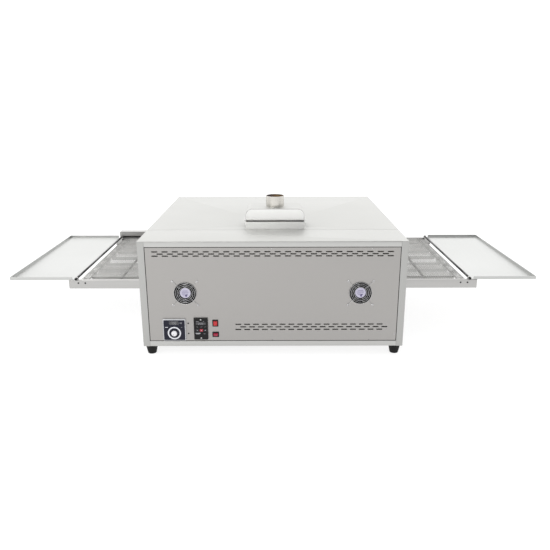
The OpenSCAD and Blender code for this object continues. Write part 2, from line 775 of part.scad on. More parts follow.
module speed_controller() color("black") {
    difference() {
        block([speed_x - speed_w / 2, front_y - 5, speed_z - speed_h / 2], [speed_x + speed_w / 2, panel_y, speed_z + speed_h / 2]);
        block([speed_x - 21.3, front_y - 6, 141.2], [speed_x + 21.3, front_y - 4, 152.8]);
        for (i = [-1:1])
            block([speed_x + 1.8 + i * 17 - 7.4, front_y - 6, button_z - 6], [speed_x + 1.8 + i * 17 + 7.4, front_y - 0.5, button_z + 6]);
        for (sz = [-1, 1]) rod_y(speed_x, front_y - 6, front_y + 5, speed_z + sz * 42, 2);
    }
    block([speed_x - 24, panel_y, speed_z - 35], [speed_x + 24, front_y + 60, speed_z + 35]);
}

module speed_button(i) {
    x = speed_x + 1.8 + i * 17;
    block([x - 7, front_y - 6.5, button_z - 5.6], [x + 7, front_y - 3, button_z + 5.6]);
}

module minus_button() color("dimgray") speed_button(-1);

module run_button() color("red") speed_button(0);

module plus_button() color("dimgray") speed_button(1);

// Rocker switch frame with a snap-in body behind the panel
module switch_frame(x, z, size) {
    difference() {
        block([x - size[0] / 2, front_y - 2, z - size[1] / 2], [x + size[0] / 2, panel_y, z + size[1] / 2]);
        block([x - size[0] / 2 + 3, front_y - 3, z - size[1] / 2 + 3], [x + size[0] / 2 - 3, panel_y + 5, z + size[1] / 2 - 3]);
    }
    difference() {
        block([x - size[0] / 2 + 2.6, panel_y, z - size[1] / 2 + 2.6], [x + size[0] / 2 - 2.6, front_y + 26, z + size[1] / 2 - 2.6]);
        block([x - size[0] / 2 + 4, front_y, z - size[1] / 2 + 4], [x + size[0] / 2 - 4, front_y + 12, z + size[1] / 2 - 4]);
        rod_x(x - size[0] / 2 + 3, x + size[0] / 2 - 3, front_y + 1, z, 1.6);
    }
}

module switch_frames() color("black") {
    switch_frame(power_x, power_z, power_size);
    switch_frame(drive_x, drive_z, drive_size);
}

// Rocker: a shallow wedge on pivot pins that stand out at both sides
module rocker(x, z, size) {
    w = size[0] / 2 - 4.4;
    h = size[1] / 2 - 4.4;
    translate([x - w, front_y, z]) rotate([90, 0, 90]) linear_extrude(2 * w)
        polygon([[3, -h + 1], [-3.4, -h + 0.6], [-1.2, 0], [-5.2, h - 0.6], [3, h - 1]]);
    rod_x(x - w - 1.2, x + w + 1.2, front_y + 1, z, 1.3);
}

module power_rocker() color("red") rocker(power_x, power_z, power_size);

module drive_rocker() color("firebrick") rocker(drive_x, drive_z, drive_size);

/* Fasteners */

// Pan-head screw in the front panel
module panel_screw(x, z, r) {
    rod_y(x, front_y - 1.2, panel_y, z, r);
}

module case_screws() color("silver") {
    for (x = [-413, -3, 413]) {
        panel_screw(x, 475, 2.6);
        panel_screw(x, open_z0 + panel_gap + 1.8, 1.6);
    }
    panel_screw(522, 96, 3.4);
    for (z = [146.4, 100.1]) panel_screw(-362.5, z, 3.6);
    for (side = [-1, 1], sx = [-1, 1], sz = [-1, 1]) {
        x = side * fan_x + sx * fan_pitch / 2;
        z = fan_z + sz * fan_pitch / 2;
        rod_y(x, front_y - 4.2, front_y - 1.6, z, 4);
        rod_y(x, front_y - 1.6, front_y + 34, z, 2);
    }
    for (sz = [-1, 1]) rod_y(speed_x, front_y - 6.2, front_y - 5, speed_z + sz * 42, 3.4);
    for (x = [-1, 1], y = [-1, 1]) {
        rod_z(x * 530, y * 535, 14, base_z + 8, 4);
        translate([x * 530, y * 535, base_z + sheet + 0.1]) cylinder(h = 5, r = 7.5, $fn = 6);
    }
    for (sx = [-1, 1], step = [-1, 1]) {
        x = sx * shaft_x + step * bearing_screw;
        rod_y(x, near_y - 2.2, near_y, rail_top - 14, 4);
        rod_y(x, far_y, far_y + 2.2, rail_top - 14, 4);
    }
}

base_pan();
front_frame();
front_panel();
left_side_panel();
right_side_panel();
rear_panel();
main_top_cover();
front_top_cover();
chamber_liner();
chamber_ends();
insulation_slabs();
flue_duct();
flue_base();
flue_hood();
flue_pipe();
feet();
near_rail();
far_rail();
cross_rods();
belt_support_bars();
wire_belt();
shaft_bearings();
drive_shaft();
drive_belt_sprockets();
driven_chain_sprocket();
idler_shaft();
idler_belt_sprockets();
rail_supports();
roller_chain();
chain_guard();
gear_motor();
motor_sprocket();
tray_hinge_brackets();
left_tray();
left_tray_rod();
right_tray();
right_tray_rod();
burner_tubes();
gas_manifold();
gas_valve();
gas_inlet();
ignition_module();
terminal_block();
cable_gland();
thermocouple();
fan_housings();
left_fan_rotor();
right_fan_rotor();
fan_guards();
temperature_controller();
controller_windows();
temperature_knob();
speed_controller();
minus_button();
run_button();
plus_button();
switch_frames();
power_rocker();
drive_rocker();
case_screws();
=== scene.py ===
"""Conveyor pizza oven: detailed pieces, finishes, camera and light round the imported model."""
import math

import bmesh
import bpy
from mathutils import Matrix, Vector


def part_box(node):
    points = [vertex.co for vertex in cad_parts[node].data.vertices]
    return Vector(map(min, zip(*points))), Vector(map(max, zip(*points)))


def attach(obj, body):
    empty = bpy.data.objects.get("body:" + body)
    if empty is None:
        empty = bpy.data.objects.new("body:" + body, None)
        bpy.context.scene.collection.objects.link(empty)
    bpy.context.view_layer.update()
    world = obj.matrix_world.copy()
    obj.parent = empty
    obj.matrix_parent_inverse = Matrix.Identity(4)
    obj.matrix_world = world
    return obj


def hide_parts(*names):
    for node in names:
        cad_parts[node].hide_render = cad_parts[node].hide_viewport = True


bl_info = {
    "name": "Conveyor pizza oven",
    "version": (1, 0, 0),
    "blender": (4, 5, 0),
    "location": "View3D > Sidebar > Oven",
    "description": "Builds a conveyor pizza oven piece by piece round its packed model",
    "category": "Object",
}

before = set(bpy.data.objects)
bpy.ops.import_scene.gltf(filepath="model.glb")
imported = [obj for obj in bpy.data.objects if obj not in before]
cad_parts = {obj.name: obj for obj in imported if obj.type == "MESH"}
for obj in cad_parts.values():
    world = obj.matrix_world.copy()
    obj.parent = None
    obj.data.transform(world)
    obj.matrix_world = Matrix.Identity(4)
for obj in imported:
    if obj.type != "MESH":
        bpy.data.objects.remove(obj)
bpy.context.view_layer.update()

MM = 0.001
UP = Vector((0, 0, 1))
ROOT = "oven"
FULL_TURN = 2 * math.pi


# ---------------------------------------------------------------- settings

class OvenSizes(bpy.types.PropertyGroup):
    """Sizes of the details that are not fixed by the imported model"""
    sheet: bpy.props.FloatProperty(
        name="Sheet", description="Thickness of the casing sheets, in millimetres", default=1.5, min=0.8,
        max=2.0)
    bend: bpy.props.FloatProperty(
        name="Bend", description="Outer radius of a folded sheet edge, in millimetres", default=2.0,
        min=0.5, max=2.5)
    wire: bpy.props.FloatProperty(
        name="Belt wire", description="Diameter of the belt's wire, in millimetres", default=1.7, min=1.0,
        max=1.8)
    belt_hooks: bpy.props.IntProperty(
        name="Belt hooks", description="Hooked links across the belt", default=39, min=9, max=49)
    guard_wire: bpy.props.FloatProperty(
        name="Guard wire", description="Diameter of the fan guards' wire, in millimetres", default=1.5,
        min=1.2, max=2.4)
    fan_blades: bpy.props.IntProperty(name="Fan blades", description="Blades on each fan", default=7, min=5,
                                      max=9)
    dial_marks: bpy.props.IntProperty(
        name="Dial marks", description="Ticks round the temperature dial", default=25, min=9, max=41)


class OvenColours(bpy.types.PropertyGroup):
    """Main colours of the oven"""
    panel: bpy.props.FloatVectorProperty(
        name="Panel", description="Brushed front panel", subtype="COLOR", size=3,
        default=(0.385, 0.374, 0.363), min=0, max=1)
    casing: bpy.props.FloatVectorProperty(
        name="Casing", description="Frame and side sheets", subtype="COLOR", size=3,
        default=(0.50, 0.50, 0.488), min=0, max=1)
    cover: bpy.props.FloatVectorProperty(
        name="Cover", description="Top covers and flue hood", subtype="COLOR", size=3,
        default=(0.54, 0.54, 0.525), min=0, max=1)
    tray: bpy.props.FloatVectorProperty(
        name="Tray", description="End trays", subtype="COLOR", size=3, default=(0.52, 0.525, 0.515), min=0,
        max=1)
    rail: bpy.props.FloatVectorProperty(
        name="Rail", description="Conveyor rails", subtype="COLOR", size=3, default=(0.46, 0.455, 0.446),
        min=0, max=1)
    rocker: bpy.props.FloatVectorProperty(
        name="Power rocker", description="Upper rocker switch", subtype="COLOR", size=3,
        default=(0.46, 0.012, 0.016), min=0, max=1)
    drive_rocker: bpy.props.FloatVectorProperty(
        name="Drive rocker", description="Lower rocker switch", subtype="COLOR", size=3,
        default=(0.30, 0.006, 0.035), min=0, max=1)
    face: bpy.props.FloatVectorProperty(
        name="Controller face", description="Temperature controller's face", subtype="COLOR", size=3,
        default=(0.014, 0.015, 0.026), min=0, max=1)


def sizes():
    return bpy.context.scene.oven_sizes


def colours():
    return bpy.context.scene.oven_colours


# ---------------------------------------------------------------- materials

class Value:
    """A shader socket that takes part in Python arithmetic."""

    def __init__(self, look, socket):
        self.look = look
        self.socket = socket

    def _math(self, operation, first, second):
        return self.look.node("ShaderNodeMath", {"operation": operation}, {0: first, 1: second})

    def __add__(self, other):
        return self._math("ADD", self, other)

    def __radd__(self, other):
        return self._math("ADD", other, self)

    def __sub__(self, other):
        return self._math("SUBTRACT", self, other)

    def __rsub__(self, other):
        return self._math("SUBTRACT", other, self)

    def __mul__(self, other):
        return self._math("MULTIPLY", self, other)

    def __rmul__(self, other):
        return self._math("MULTIPLY", other, self)

    def __gt__(self, other):
        return self._math("GREATER_THAN", self, other)


class Look:
    """One procedural material, built from nodes on Object coordinates."""

    def __init__(self, name):
        self.material = bpy.data.materials.new(name)
        self.material.use_nodes = True
        self.tree = self.material.node_tree
        self.tree.nodes.clear()
        self.shader = self.tree.nodes.new("ShaderNodeBsdfPrincipled")
        output = self.tree.nodes.new("ShaderNodeOutputMaterial")
        self.tree.links.new(self.shader.outputs["BSDF"], output.inputs["Surface"])
        self.place = self.node("ShaderNodeTexCoord", {}, {}, "Object")

    def node(self, kind, settings, values, output=0):
        """Adds a node: its settings first, then its sockets' values or links; returns one of its outputs."""
        made = self.tree.nodes.new(kind)
        for key, value in settings.items():
            if key == "stops":
                ramp = made.color_ramp
                while len(ramp.elements) < len(value):
                    ramp.elements.new(0.5)
                for element, (position, colour) in zip(ramp.elements, value):
                    element.position = position
                    element.color = colour
            else:
                setattr(made, key, value)
        for key, value in values.items():
            self.feed(made.inputs[key], value)
        return Value(self, made.outputs[output])

    def feed(self, socket, value):
        if isinstance(value, Value):
            self.tree.links.new(value.socket, socket)
        else:
            socket.default_value = value

    def set(self, **values):
        """Feeds the shader's sockets by name, with _ for a space."""
        for key, value in values.items():
            self.feed(self.shader.inputs[key.replace("_", " ")], value)
        return self

    def noise(self, scale, stretch=(1, 1, 1), detail=2.0, rough=0.5):
        """Grey noise, stretched along an axis where its factor is small."""
        spot = self.node("ShaderNodeMapping", {}, {"Vector": self.place, "Scale": stretch})
        return self.node("ShaderNodeTexNoise", {}, {
            "Vector": spot, "Scale": scale, "Detail": detail, "Roughness": rough}, "Fac")

    def mix(self, factor, first, second):
        return self.node("ShaderNodeMix", {"data_type": "RGBA"}, {0: factor, 6: first, 7: second}, 2)

    def bump(self, height, strength, distance=0.0003):
        return self.node("ShaderNodeBump", {}, {"Height": height, "Strength": strength,
                                                "Distance": distance}, "Normal")


def rgba(colour, gain=1.0):
    return tuple(min(1.0, c * gain) for c in colour) + (1.0,)


GRAIN = {"x": (0.012, 1.0, 1.0), "y": (1.0, 0.012, 1.0), "z": (1.0, 1.0, 0.012)}


def brushed(name, colour, along="x", rough=0.36, contrast=0.10, metallic=1.0, spots=0.0):
    """Brushed stainless steel: fine grain lines along one axis, with a soft cloudiness over them."""
    look = Look(name)
    fine = look.noise(900.0, GRAIN[along], 3.0, 0.6)
    broad = look.noise(140.0, GRAIN[along], 2.0)
    cloud = look.noise(4.0, (1, 1, 1), 3.0)
    grain = fine * 0.6 + broad * 0.4
    base = look.mix(grain * 0.7 + cloud * 0.3, rgba(colour, 1 - contrast), rgba(colour, 1 + contrast))
    if spots:
        base = look.mix((look.noise(22.0, (1, 1, 1), 4.0) > 0.62) * spots, base, rgba(colour, 0.55))
    return look.set(
        Base_Color=base, Metallic=metallic, Roughness=grain * 0.16 + cloud * 0.10 + (rough - 0.13),
        Normal=look.bump(grain, 0.10, 0.0002))


def bright_metal(name, colour, rough=0.14):
    """Drawn or plated metal with faint scuffs."""
    look = Look(name)
    scuff = look.noise(260.0, (1, 1, 1), 4.0)
    cloud = look.noise(18.0)
    base = look.mix(cloud, rgba(colour, 0.86), rgba(colour, 1.08))
    return look.set(Base_Color=base, Metallic=1.0, Roughness=scuff * 0.10 + rough,
                    Normal=look.bump(scuff, 0.05, 0.0002))


def plastic(name, colour, rough=0.42, grain=1400.0, coat=0.0, vary=0.12):
    """Moulded plastic with a fine spark-eroded grain."""
    look = Look(name)
    pits = look.noise(grain, (1, 1, 1), 2.0)
    cloud = look.noise(30.0, (1, 1, 1), 3.0)
    base = look.mix(cloud, rgba(colour, 1 - vary), rgba(colour, 1 + vary))
    look.set(Base_Color=base, Metallic=0.0, Roughness=pits * 0.14 + (rough - 0.07),
             Normal=look.bump(pits, 0.12, 0.0001),
             Specular_IOR_Level=0.18 if max(colour) < 0.15 else 0.5)
    if coat:
        look.set(Coat_Weight=coat, Coat_Roughness=0.08)
    return look


def rubber(name, colour):
    look = Look(name)
    pits = look.noise(700.0, (1, 1, 1), 4.0)
    dust = look.noise(40.0, (1, 1, 1), 4.0)
    base = look.mix(dust, rgba(colour, 0.8), rgba(colour, 1.5))
    return look.set(Base_Color=base, Roughness=dust * 0.2 + 0.55, Specular_IOR_Level=0.2,
                    Normal=look.bump(pits, 0.25, 0.0002))


def heat_tinted(name, colour):
    """Steel that has been hot: straw and blue clouds over the grain."""
    look = Look(name)
    cloud = look.noise(9.0, (1, 1, 1), 4.0)
    tint = look.node("ShaderNodeValToRGB", {"stops": [
        (0.32, rgba(colour)), (0.48, (0.36, 0.24, 0.12, 1.0)), (0.60, (0.20, 0.16, 0.20, 1.0)),
        (0.72, rgba(colour, 0.8))]},
        {"Fac": cloud}, "Color")
    fine = look.noise(500.0, (1, 1, 1), 3.0)
    return look.set(Base_Color=tint, Metallic=1.0, Roughness=fine * 0.15 + 0.38,
                    Normal=look.bump(fine, 0.12, 0.0002))


def cast(name, colour, metallic=0.6):
    """Sand-cast or zinc-cast metal with a pebbled skin."""
    look = Look(name)
    pebble = look.noise(320.0, (1, 1, 1), 4.0)
    cloud = look.noise(25.0)
    base = look.mix(cloud, rgba(colour, 0.8), rgba(colour, 1.15))
    return look.set(Base_Color=base, Metallic=metallic, Roughness=pebble * 0.2 + 0.4,
                    Normal=look.bump(pebble, 0.4, 0.0004))


def wool(name, colour):
    """Ceramic wool: matted fibres."""
    look = Look(name)
    fibre = look.noise(160.0, (1, 1, 6), 6.0, 0.7)
    mat = look.noise(24.0, (1, 1, 1), 5.0, 0.7)
    base = look.mix(mat, rgba(colour, 0.75), rgba(colour, 1.1))
    return look.set(Base_Color=base, Roughness=0.95, Normal=look.bump(fibre + mat, 0.9, 0.002))


def glass_window(name, colour):
    look = Look(name)
    smear = look.noise(60.0, (1, 1, 1), 4.0)
    base = look.mix(smear, rgba(colour, 0.8), rgba(colour, 1.3))
    return look.set(Base_Color=base, Roughness=smear * 0.08 + 0.06, Coat_Weight=0.6, Coat_Roughness=0.05)


LOOKS = {
    "panel_steel": lambda: brushed("panel_steel", colours().panel, "x", 0.40, 0.05),
    "casing_steel": lambda: brushed("casing_steel", colours().casing, "y", 0.36, 0.06),
    "frame_x": lambda: brushed("frame_x", colours().casing, "x", 0.34, 0.06),
    # Upright posts: the casing steel darkened to 0.84, painted shade; the posts are the same steel as the
    # bands.
    "frame_z_painted_shade": lambda: brushed("frame_z_painted_shade", tuple(c * 0.84 for c in colours().casing), "z", 0.34, 0.06),
    "rear_steel": lambda: brushed("rear_steel", colours().casing, "x", 0.38, 0.06),
    "cover_steel": lambda: brushed("cover_steel", colours().cover, "x", 0.54, 0.03),
    # Flue base box and hood end plates: a near-white copy of the cover steel, painted light; they are the
    # same sheet steel as the hood's bent skin.
    "hood_steel_painted_light": lambda: brushed("hood_steel_painted_light", (0.90, 0.90, 0.885), "x", 0.36, 0.04),
    "flue_steel": lambda: brushed("flue_steel", (0.62, 0.60, 0.56), "z", 0.24, 0.16, 1.0, 0.25),
    "tray_steel": lambda: brushed("tray_steel", colours().tray, "y", 0.38, 0.03),
    "rail_steel": lambda: brushed("rail_steel", colours().rail, "x", 0.34, 0.07),
    "galvanised": lambda: brushed("galvanised", (0.48, 0.49, 0.50), "x", 0.44, 0.14, 1.0, 0.3),
    "chamber_steel": lambda: heat_tinted("chamber_steel", (0.42, 0.40, 0.37)),
    "burner_steel": lambda: heat_tinted("burner_steel", (0.30, 0.27, 0.24)),
    # Near-black lining inside the flue pipe: painted shade of the pipe's throat, with heat-tint clouds over
    # it.
    "throat_painted_shade": lambda: heat_tinted("throat_painted_shade", (0.10, 0.095, 0.09)),
    "wool": lambda: wool("wool", (0.80, 0.77, 0.66)),
    "belt_wire": lambda: bright_metal("belt_wire", (0.51, 0.505, 0.49), 0.24),
    "bright_steel": lambda: bright_metal("bright_steel", (0.62, 0.62, 0.62), 0.16),
    "screw_steel": lambda: bright_metal("screw_steel", (0.58, 0.58, 0.58), 0.18),
    # Black screws, and also the dark marks in screw recesses, frame seams and shaft ends, which are painted
    # shade.
    "dark_screw_and_painted_shade": lambda: bright_metal("dark_screw_and_painted_shade", (0.06, 0.06, 0.06), 0.30),
    "chrome": lambda: bright_metal("chrome", (0.60, 0.60, 0.61), 0.12),
    "dark_casting": lambda: cast("dark_casting", (0.05, 0.05, 0.05), 0.5),
    "brass": lambda: bright_metal("brass", (0.70, 0.46, 0.17), 0.22),
    "black_steel": lambda: plastic("black_steel", (0.018, 0.018, 0.018), 0.34, 600.0),
    "chain_steel": lambda: bright_metal("chain_steel", (0.16, 0.15, 0.14), 0.28),
    "motor_casting": lambda: cast("motor_casting", (0.40, 0.41, 0.42), 0.8),
    "gas_pipe": lambda: cast("gas_pipe", (0.52, 0.40, 0.05), 0.2),
    "foot_rubber": lambda: rubber("foot_rubber", (0.007, 0.007, 0.007)),
    "black_plastic": lambda: plastic("black_plastic", (0.014, 0.014, 0.015), 0.40),
    "fan_plastic": lambda: plastic("fan_plastic", (0.006, 0.006, 0.007), 0.60, 900.0),
    "fan_label": lambda: plastic("fan_label", (0.50, 0.48, 0.60), 0.35, 2000.0, 0.2, 0.06),
    "label_ink": lambda: plastic("label_ink", (0.10, 0.08, 0.20), 0.40),
    "white_plastic": lambda: plastic("white_plastic", (0.72, 0.72, 0.75), 0.28, 1500.0, 0.3, 0.04),
    "rim_silver": lambda: plastic("rim_silver", (0.58, 0.59, 0.62), 0.30, 1500.0, 0.2, 0.05),
    "face_navy": lambda: plastic("face_navy", colours().face, 0.32, 1200.0),
    "face_black": lambda: plastic("face_black", (0.011, 0.011, 0.011), 0.34, 1200.0),
    "print_white": lambda: plastic("print_white", (0.70, 0.71, 0.75), 0.5, 1800.0, 0.0, 0.05),
    "print_grey": lambda: plastic("print_grey", (0.28, 0.28, 0.30), 0.5, 1800.0, 0.0, 0.05),
    "window": lambda: glass_window("window", (0.030, 0.030, 0.034)),
    "button_grey": lambda: plastic("button_grey", (0.035, 0.035, 0.038), 0.45),
    "button_red": lambda: plastic("button_red", (0.36, 0.02, 0.04), 0.30, 1500.0, 0.3),
    "rocker_red": lambda: plastic("rocker_red", colours().rocker, 0.28, 1500.0, 0.15),
    "rocker_dark_red": lambda: plastic("rocker_dark_red", colours().drive_rocker, 0.28, 1500.0, 0.15),
    "module_plastic": lambda: plastic("module_plastic", (0.62, 0.62, 0.56), 0.45),
    "floor": lambda: floor_look(),
}

made_looks = {}


def floor_look():
    """Matt pale floor with the faintest unevenness."""
    look = Look("floor")
    cloud = look.noise(1.5)
    return look.set(Base_Color=look.mix(cloud, (0.30, 0.30, 0.30, 1), (0.32, 0.32, 0.32, 1)), Roughness=0.9,
                    Emission_Color=(1.0, 1.0, 1.0, 1.0), Emission_Strength=0.78)


def material(name):
    if name not in made_looks:
        made_looks[name] = LOOKS[name]().material
    return made_looks[name]


# ---------------------------------------------------------------- shapes, in millimetres

def tilt(axis):
    """Turn that takes +Z to an axis."""
    return UP.rotation_difference(Vector(axis)).to_matrix().to_4x4()


def soften_edges(shape, edges, width, segments=2):
    if width > 0 and edges:
        bmesh.ops.bevel(
            shape, geom=edges, offset=width, offset_type="OFFSET", segments=segments, profile=0.5,
            affect="EDGES", clamp_overlap=True, material=-1)


def sharp_edges(shape, angle=40):
    limit = math.radians(angle)
    return [e for e in shape.edges if len(e.link_faces) == 2 and e.calc_face_angle(0) > limit]


def box(low, high, edge=0.5, segments=2):
    shape = bmesh.new()
    low, high = Vector(low), Vector(high)
    bmesh.ops.create_cube(shape, size=1.0)
    bmesh.ops.scale(shape, vec=high - low, verts=shape.verts)
    bmesh.ops.translate(shape, vec=(low + high) / 2, verts=shape.verts)
    soften_edges(shape, shape.edges[:], edge, segments)
    return shape


def rod(start, end, radius, edge=0.4, sides=32, end_radius=None):
    """Round bar, or a cone, between two points, with its rims rounded."""
    shape = bmesh.new()
    start, end = Vector(start), Vector(end)
    bmesh.ops.create_cone(
        shape, cap_ends=True, cap_tris=False, segments=sides, radius1=radius,
        radius2=radius if end_radius is None else end_radius, depth=(end - start).length)
    rims = [e for e in shape.edges if abs(e.verts[0].co.z - e.verts[1].co.z) < 1e-6]
    soften_edges(shape, rims, edge, 2)
    bmesh.ops.transform(shape, matrix=Matrix.Translation((start + end) / 2) @ tilt(end - start),
                        verts=shape.verts)
    return shape


def lathe(profile, centre, axis=(0, 0, 1), sides=48, closed=False):
    """Turned shape: profile is (radius, distance along the axis from the centre)."""
    shape = bmesh.new()
    points = [shape.verts.new((r, 0, h)) for r, h in profile]
    for first, second in zip(points, points[1:]):
        shape.edges.new((first, second))
    if closed:
        shape.edges.new((points[-1], points[0]))
    bmesh.ops.spin(
        shape, geom=shape.verts[:] + shape.edges[:], cent=(0, 0, 0), axis=(0, 0, 1), dvec=(0, 0, 0),
        angle=FULL_TURN, steps=sides, use_merge=True, use_normal_flip=False, use_duplicate=False)
    bmesh.ops.remove_doubles(shape, verts=shape.verts, dist=1e-4)
    bmesh.ops.transform(shape, matrix=Matrix.Translation(Vector(centre)) @ tilt(axis), verts=shape.verts)
    return shape


def to_space(axis, a, b, along):
    return Vector({"x": (along, a, b), "y": (a, along, b), "z": (a, b, along)}[axis])


def plate(outlines, axis, low, high, edge=0.3, segments=1):
    """Flat plate from an outline and its holes, standing between two positions on an axis."""
    shape = bmesh.new()
    for outline in outlines:
        points = [shape.verts.new(to_space(axis, a, b, low)) for a, b in outline]
        for first, second in zip(points, points[1:] + points[:1]):
            shape.edges.new((first, second))
    if len(outlines) == 1:
        bmesh.ops.contextual_create(shape, geom=shape.edges[:])
    else:
        bmesh.ops.triangle_fill(shape, use_beauty=True, use_dissolve=False, edges=shape.edges[:])
    raised = bmesh.ops.extrude_face_region(shape, geom=shape.faces[:])
    step = to_space(axis, 0, 0, high - low)
    bmesh.ops.translate(shape, vec=step,
                        verts=[v for v in raised["geom"] if isinstance(v, bmesh.types.BMVert)])
    bmesh.ops.recalc_face_normals(shape, faces=shape.faces)
    if edge:
        rims = [e for e in sharp_edges(shape, 60)
                if abs((e.verts[1].co - e.verts[0].co).dot(step)) < 1e-6]
        soften_edges(shape, rims, edge, segments)
    return shape


def ring_points(x, z, r, sides=48, start=0.0):
    return [(x + r * math.cos(start + FULL_TURN * i / sides), z + r * math.sin(start + FULL_TURN * i / sides))
            for i in range(sides)]


def rounded(x0, z0, x1, z1, r, steps=4):
    """Rectangle outline with round corners, starting in the high corner."""
    points = []
    corners = [(x1 - r, z1 - r), (x0 + r, z1 - r), (x0 + r, z0 + r), (x1 - r, z0 + r)]
    for quarter, (cx, cz) in enumerate(corners):
        for i in range(steps + 1):
            angle = math.pi / 2 * (quarter + i / steps)
            points.append((cx + r * math.cos(angle), cz + r * math.sin(angle)))
    return points


def bend_path(path, radius, steps=4):
    """Rounds the inner corners of an open path with arcs of one radius."""
    points = [Vector(path[0])]
    for before, corner, after in zip(path, path[1:], path[2:]):
        before, corner, after = Vector(before), Vector(corner), Vector(after)
        into, out = (before - corner).normalized(), (after - corner).normalized()
        half = math.acos(max(-1, min(1, into.dot(out)))) / 2
        reach = min(radius / math.tan(half), 0.49 * (before - corner).length, 0.49 * (after - corner).length)
        centre = corner + (into + out).normalized() * (reach / math.cos(half))
        first, last = corner + into * reach, corner + out * reach
        for i in range(steps + 1):
            spot = first.lerp(last, i / steps)
            points.append(centre + (spot - centre).normalized() * (first - centre).length)
    points.append(Vector(path[-1]))
    return points


def strip_outline(path, thickness, radius, steps=4):
    """Closed outline of a folded strip: the path is one face, and the other lies to its left."""
    path = [Vector(p) for p in path]
    inner = []
    for i, point in enumerate(path):
        ways = []
        if i > 0:
            ways.append((point - path[i - 1]).normalized())
        if i < len(path) - 1:
            ways.append((path[i + 1] - point).normalized())
        normals = [Vector((-w.y, w.x)) for w in ways]
        if len(normals) == 1:
            inner.append(point + normals[0] * thickness)
        else:
            middle = (normals[0] + normals[1]).normalized()
            inner.append(point + middle * (thickness / middle.dot(normals[0])))
    return [tuple(p) for p in bend_path(path, radius, steps) + bend_path(inner[::-1], radius, steps)]


def folded(path, thickness, axis, low, high, radius=2.0, edge=0.25):
    """Folded sheet: a bent strip's section carried along an axis."""
    return plate([strip_outline(path, thickness, radius)], axis, low, high, edge)


def loft(loops, capped=True):
    """Skin through loops of points that all have the same count."""
    shape = bmesh.new()
    rows = []
    for loop in loops:
        points = [shape.verts.new(p) for p in loop]
        rows.append([shape.edges.new((a, b)) for a, b in zip(points, points[1:] + points[:1])])
    for first, second in zip(rows, rows[1:]):
        bmesh.ops.bridge_loops(shape, edges=first + second)
    if capped:
        for row in (rows[0], rows[-1]):
            bmesh.ops.contextual_create(shape, geom=row)
    return shape


def wire(points, radius, sides=8, closed=False):
    """Round wire along a run of points."""
    shape = bmesh.new()
    points = [Vector(p) for p in points]
    count = len(points)
    turn = None
    last_way = None
    rows = []
    for i, point in enumerate(points):
        before = points[i - 1] if (i > 0 or closed) else point
        after = points[(i + 1) % count] if (i < count - 1 or closed) else point
        way = (after - before).normalized()
        if turn is None:
            turn = UP.rotation_difference(way)
        else:
            turn = last_way.rotation_difference(way) @ turn
        last_way = way
        made = bmesh.ops.create_circle(
            shape, cap_ends=False, segments=sides, radius=radius,
            matrix=Matrix.Translation(point) @ turn.to_matrix().to_4x4())
        rows.append([e for e in {e for v in made["verts"] for e in v.link_edges}])
    pairs = list(zip(rows, rows[1:]))
    if closed:
        pairs.append((rows[-1], rows[0]))
    for first, second in pairs:
        bmesh.ops.bridge_loops(shape, edges=first + second)
    if not closed:
        for row in (rows[0], rows[-1]):
            bmesh.ops.contextual_create(shape, geom=row)
    return shape


def span(node):
    """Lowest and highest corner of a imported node, in millimetres."""
    low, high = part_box(node)
    return Vector(low) / MM, Vector(high) / MM


class Piece:
    """Gathers closed shapes, each with its finish, into one named piece that rides on a body."""

    def __init__(self, name, slot, stands_for=(), body=ROOT):
        self.name, self.slot, self.stands_for, self.body = name, slot, stands_for, body
        self.mesh = bmesh.new()
        self.looks = []

    def add(self, shape, look):
        if look not in self.looks:
            self.looks.append(look)
        bmesh.ops.recalc_face_normals(shape, faces=shape.faces)
        for face in shape.faces:
            face.material_index = self.looks.index(look)
        scratch = bpy.data.meshes.new("scratch")
        shape.to_mesh(scratch)
        shape.free()
        self.mesh.from_mesh(scratch)
        bpy.data.meshes.remove(scratch)
        return self

    def finish(self, crease=35):
        if not self.mesh.faces:
            raise RuntimeError(self.name + " has no faces")
        bmesh.ops.scale(self.mesh, vec=(MM, MM, MM), verts=self.mesh.verts)
        mesh = bpy.data.meshes.new(self.name)
        self.mesh.to_mesh(mesh)
        self.mesh.free()
        for look in self.looks:
            mesh.materials.append(material(look))
        mesh.shade_smooth()
        mesh.set_sharp_from_angle(angle=math.radians(crease))
        piece = bpy.data.objects.new(self.name, mesh)
        bpy.context.scene.collection.objects.link(piece)
        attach(piece, self.body)
        if self.stands_for:
            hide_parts(*self.stands_for)
        return piece


def dress(node, look):
    """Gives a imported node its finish."""
    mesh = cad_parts[node].data
    mesh.materials.clear()
    mesh.materials.append(material(look))


def pan_screw(piece, spot, axis, radius, height, look="screw_steel"):
    """Pan-head screw with a cross recess, standing on a surface; the recess is two thin dark bars on the
    head: painted shade.
    """
    dome = [(0, height), (radius * 0.55, height * 0.94), (radius * 0.88, height * 0.62),
            (radius, height * 0.2), (radius, 0), (0, 0)]
    piece.add(lathe(dome, spot, axis, 20), look)
    spot, axis = Vector(spot), Vector(axis).normalized()
    turn = Matrix.Translation(spot + axis * (height * 0.94)) @ tilt(axis)
    for length, width in ((radius * 0.95, radius * 0.2), (radius * 0.2, radius * 0.95)):
        # The cross recess is two thin dark bars laid on the head: painted shade.
        recess_painted_shade = box((-length / 2, -width / 2, -0.2), (length / 2, width / 2, height * 0.07 + 0.03), 0)
        bmesh.ops.transform(recess_painted_shade, matrix=turn, verts=recess_painted_shade.verts)
        piece.add(recess_painted_shade, "dark_screw_and_painted_shade")


def hex_head(piece, spot, axis, radius, height, look="screw_steel"):
    """Hexagon head or nut with its corners eased."""
    spot, axis = Vector(spot), Vector(axis).normalized()
    piece.add(rod(spot, spot + axis * height, radius, height * 0.12, 6), look)
    piece.add(rod(spot + axis * height, spot + axis * (height + 0.6), radius * 0.55, 0.2, 16), look)


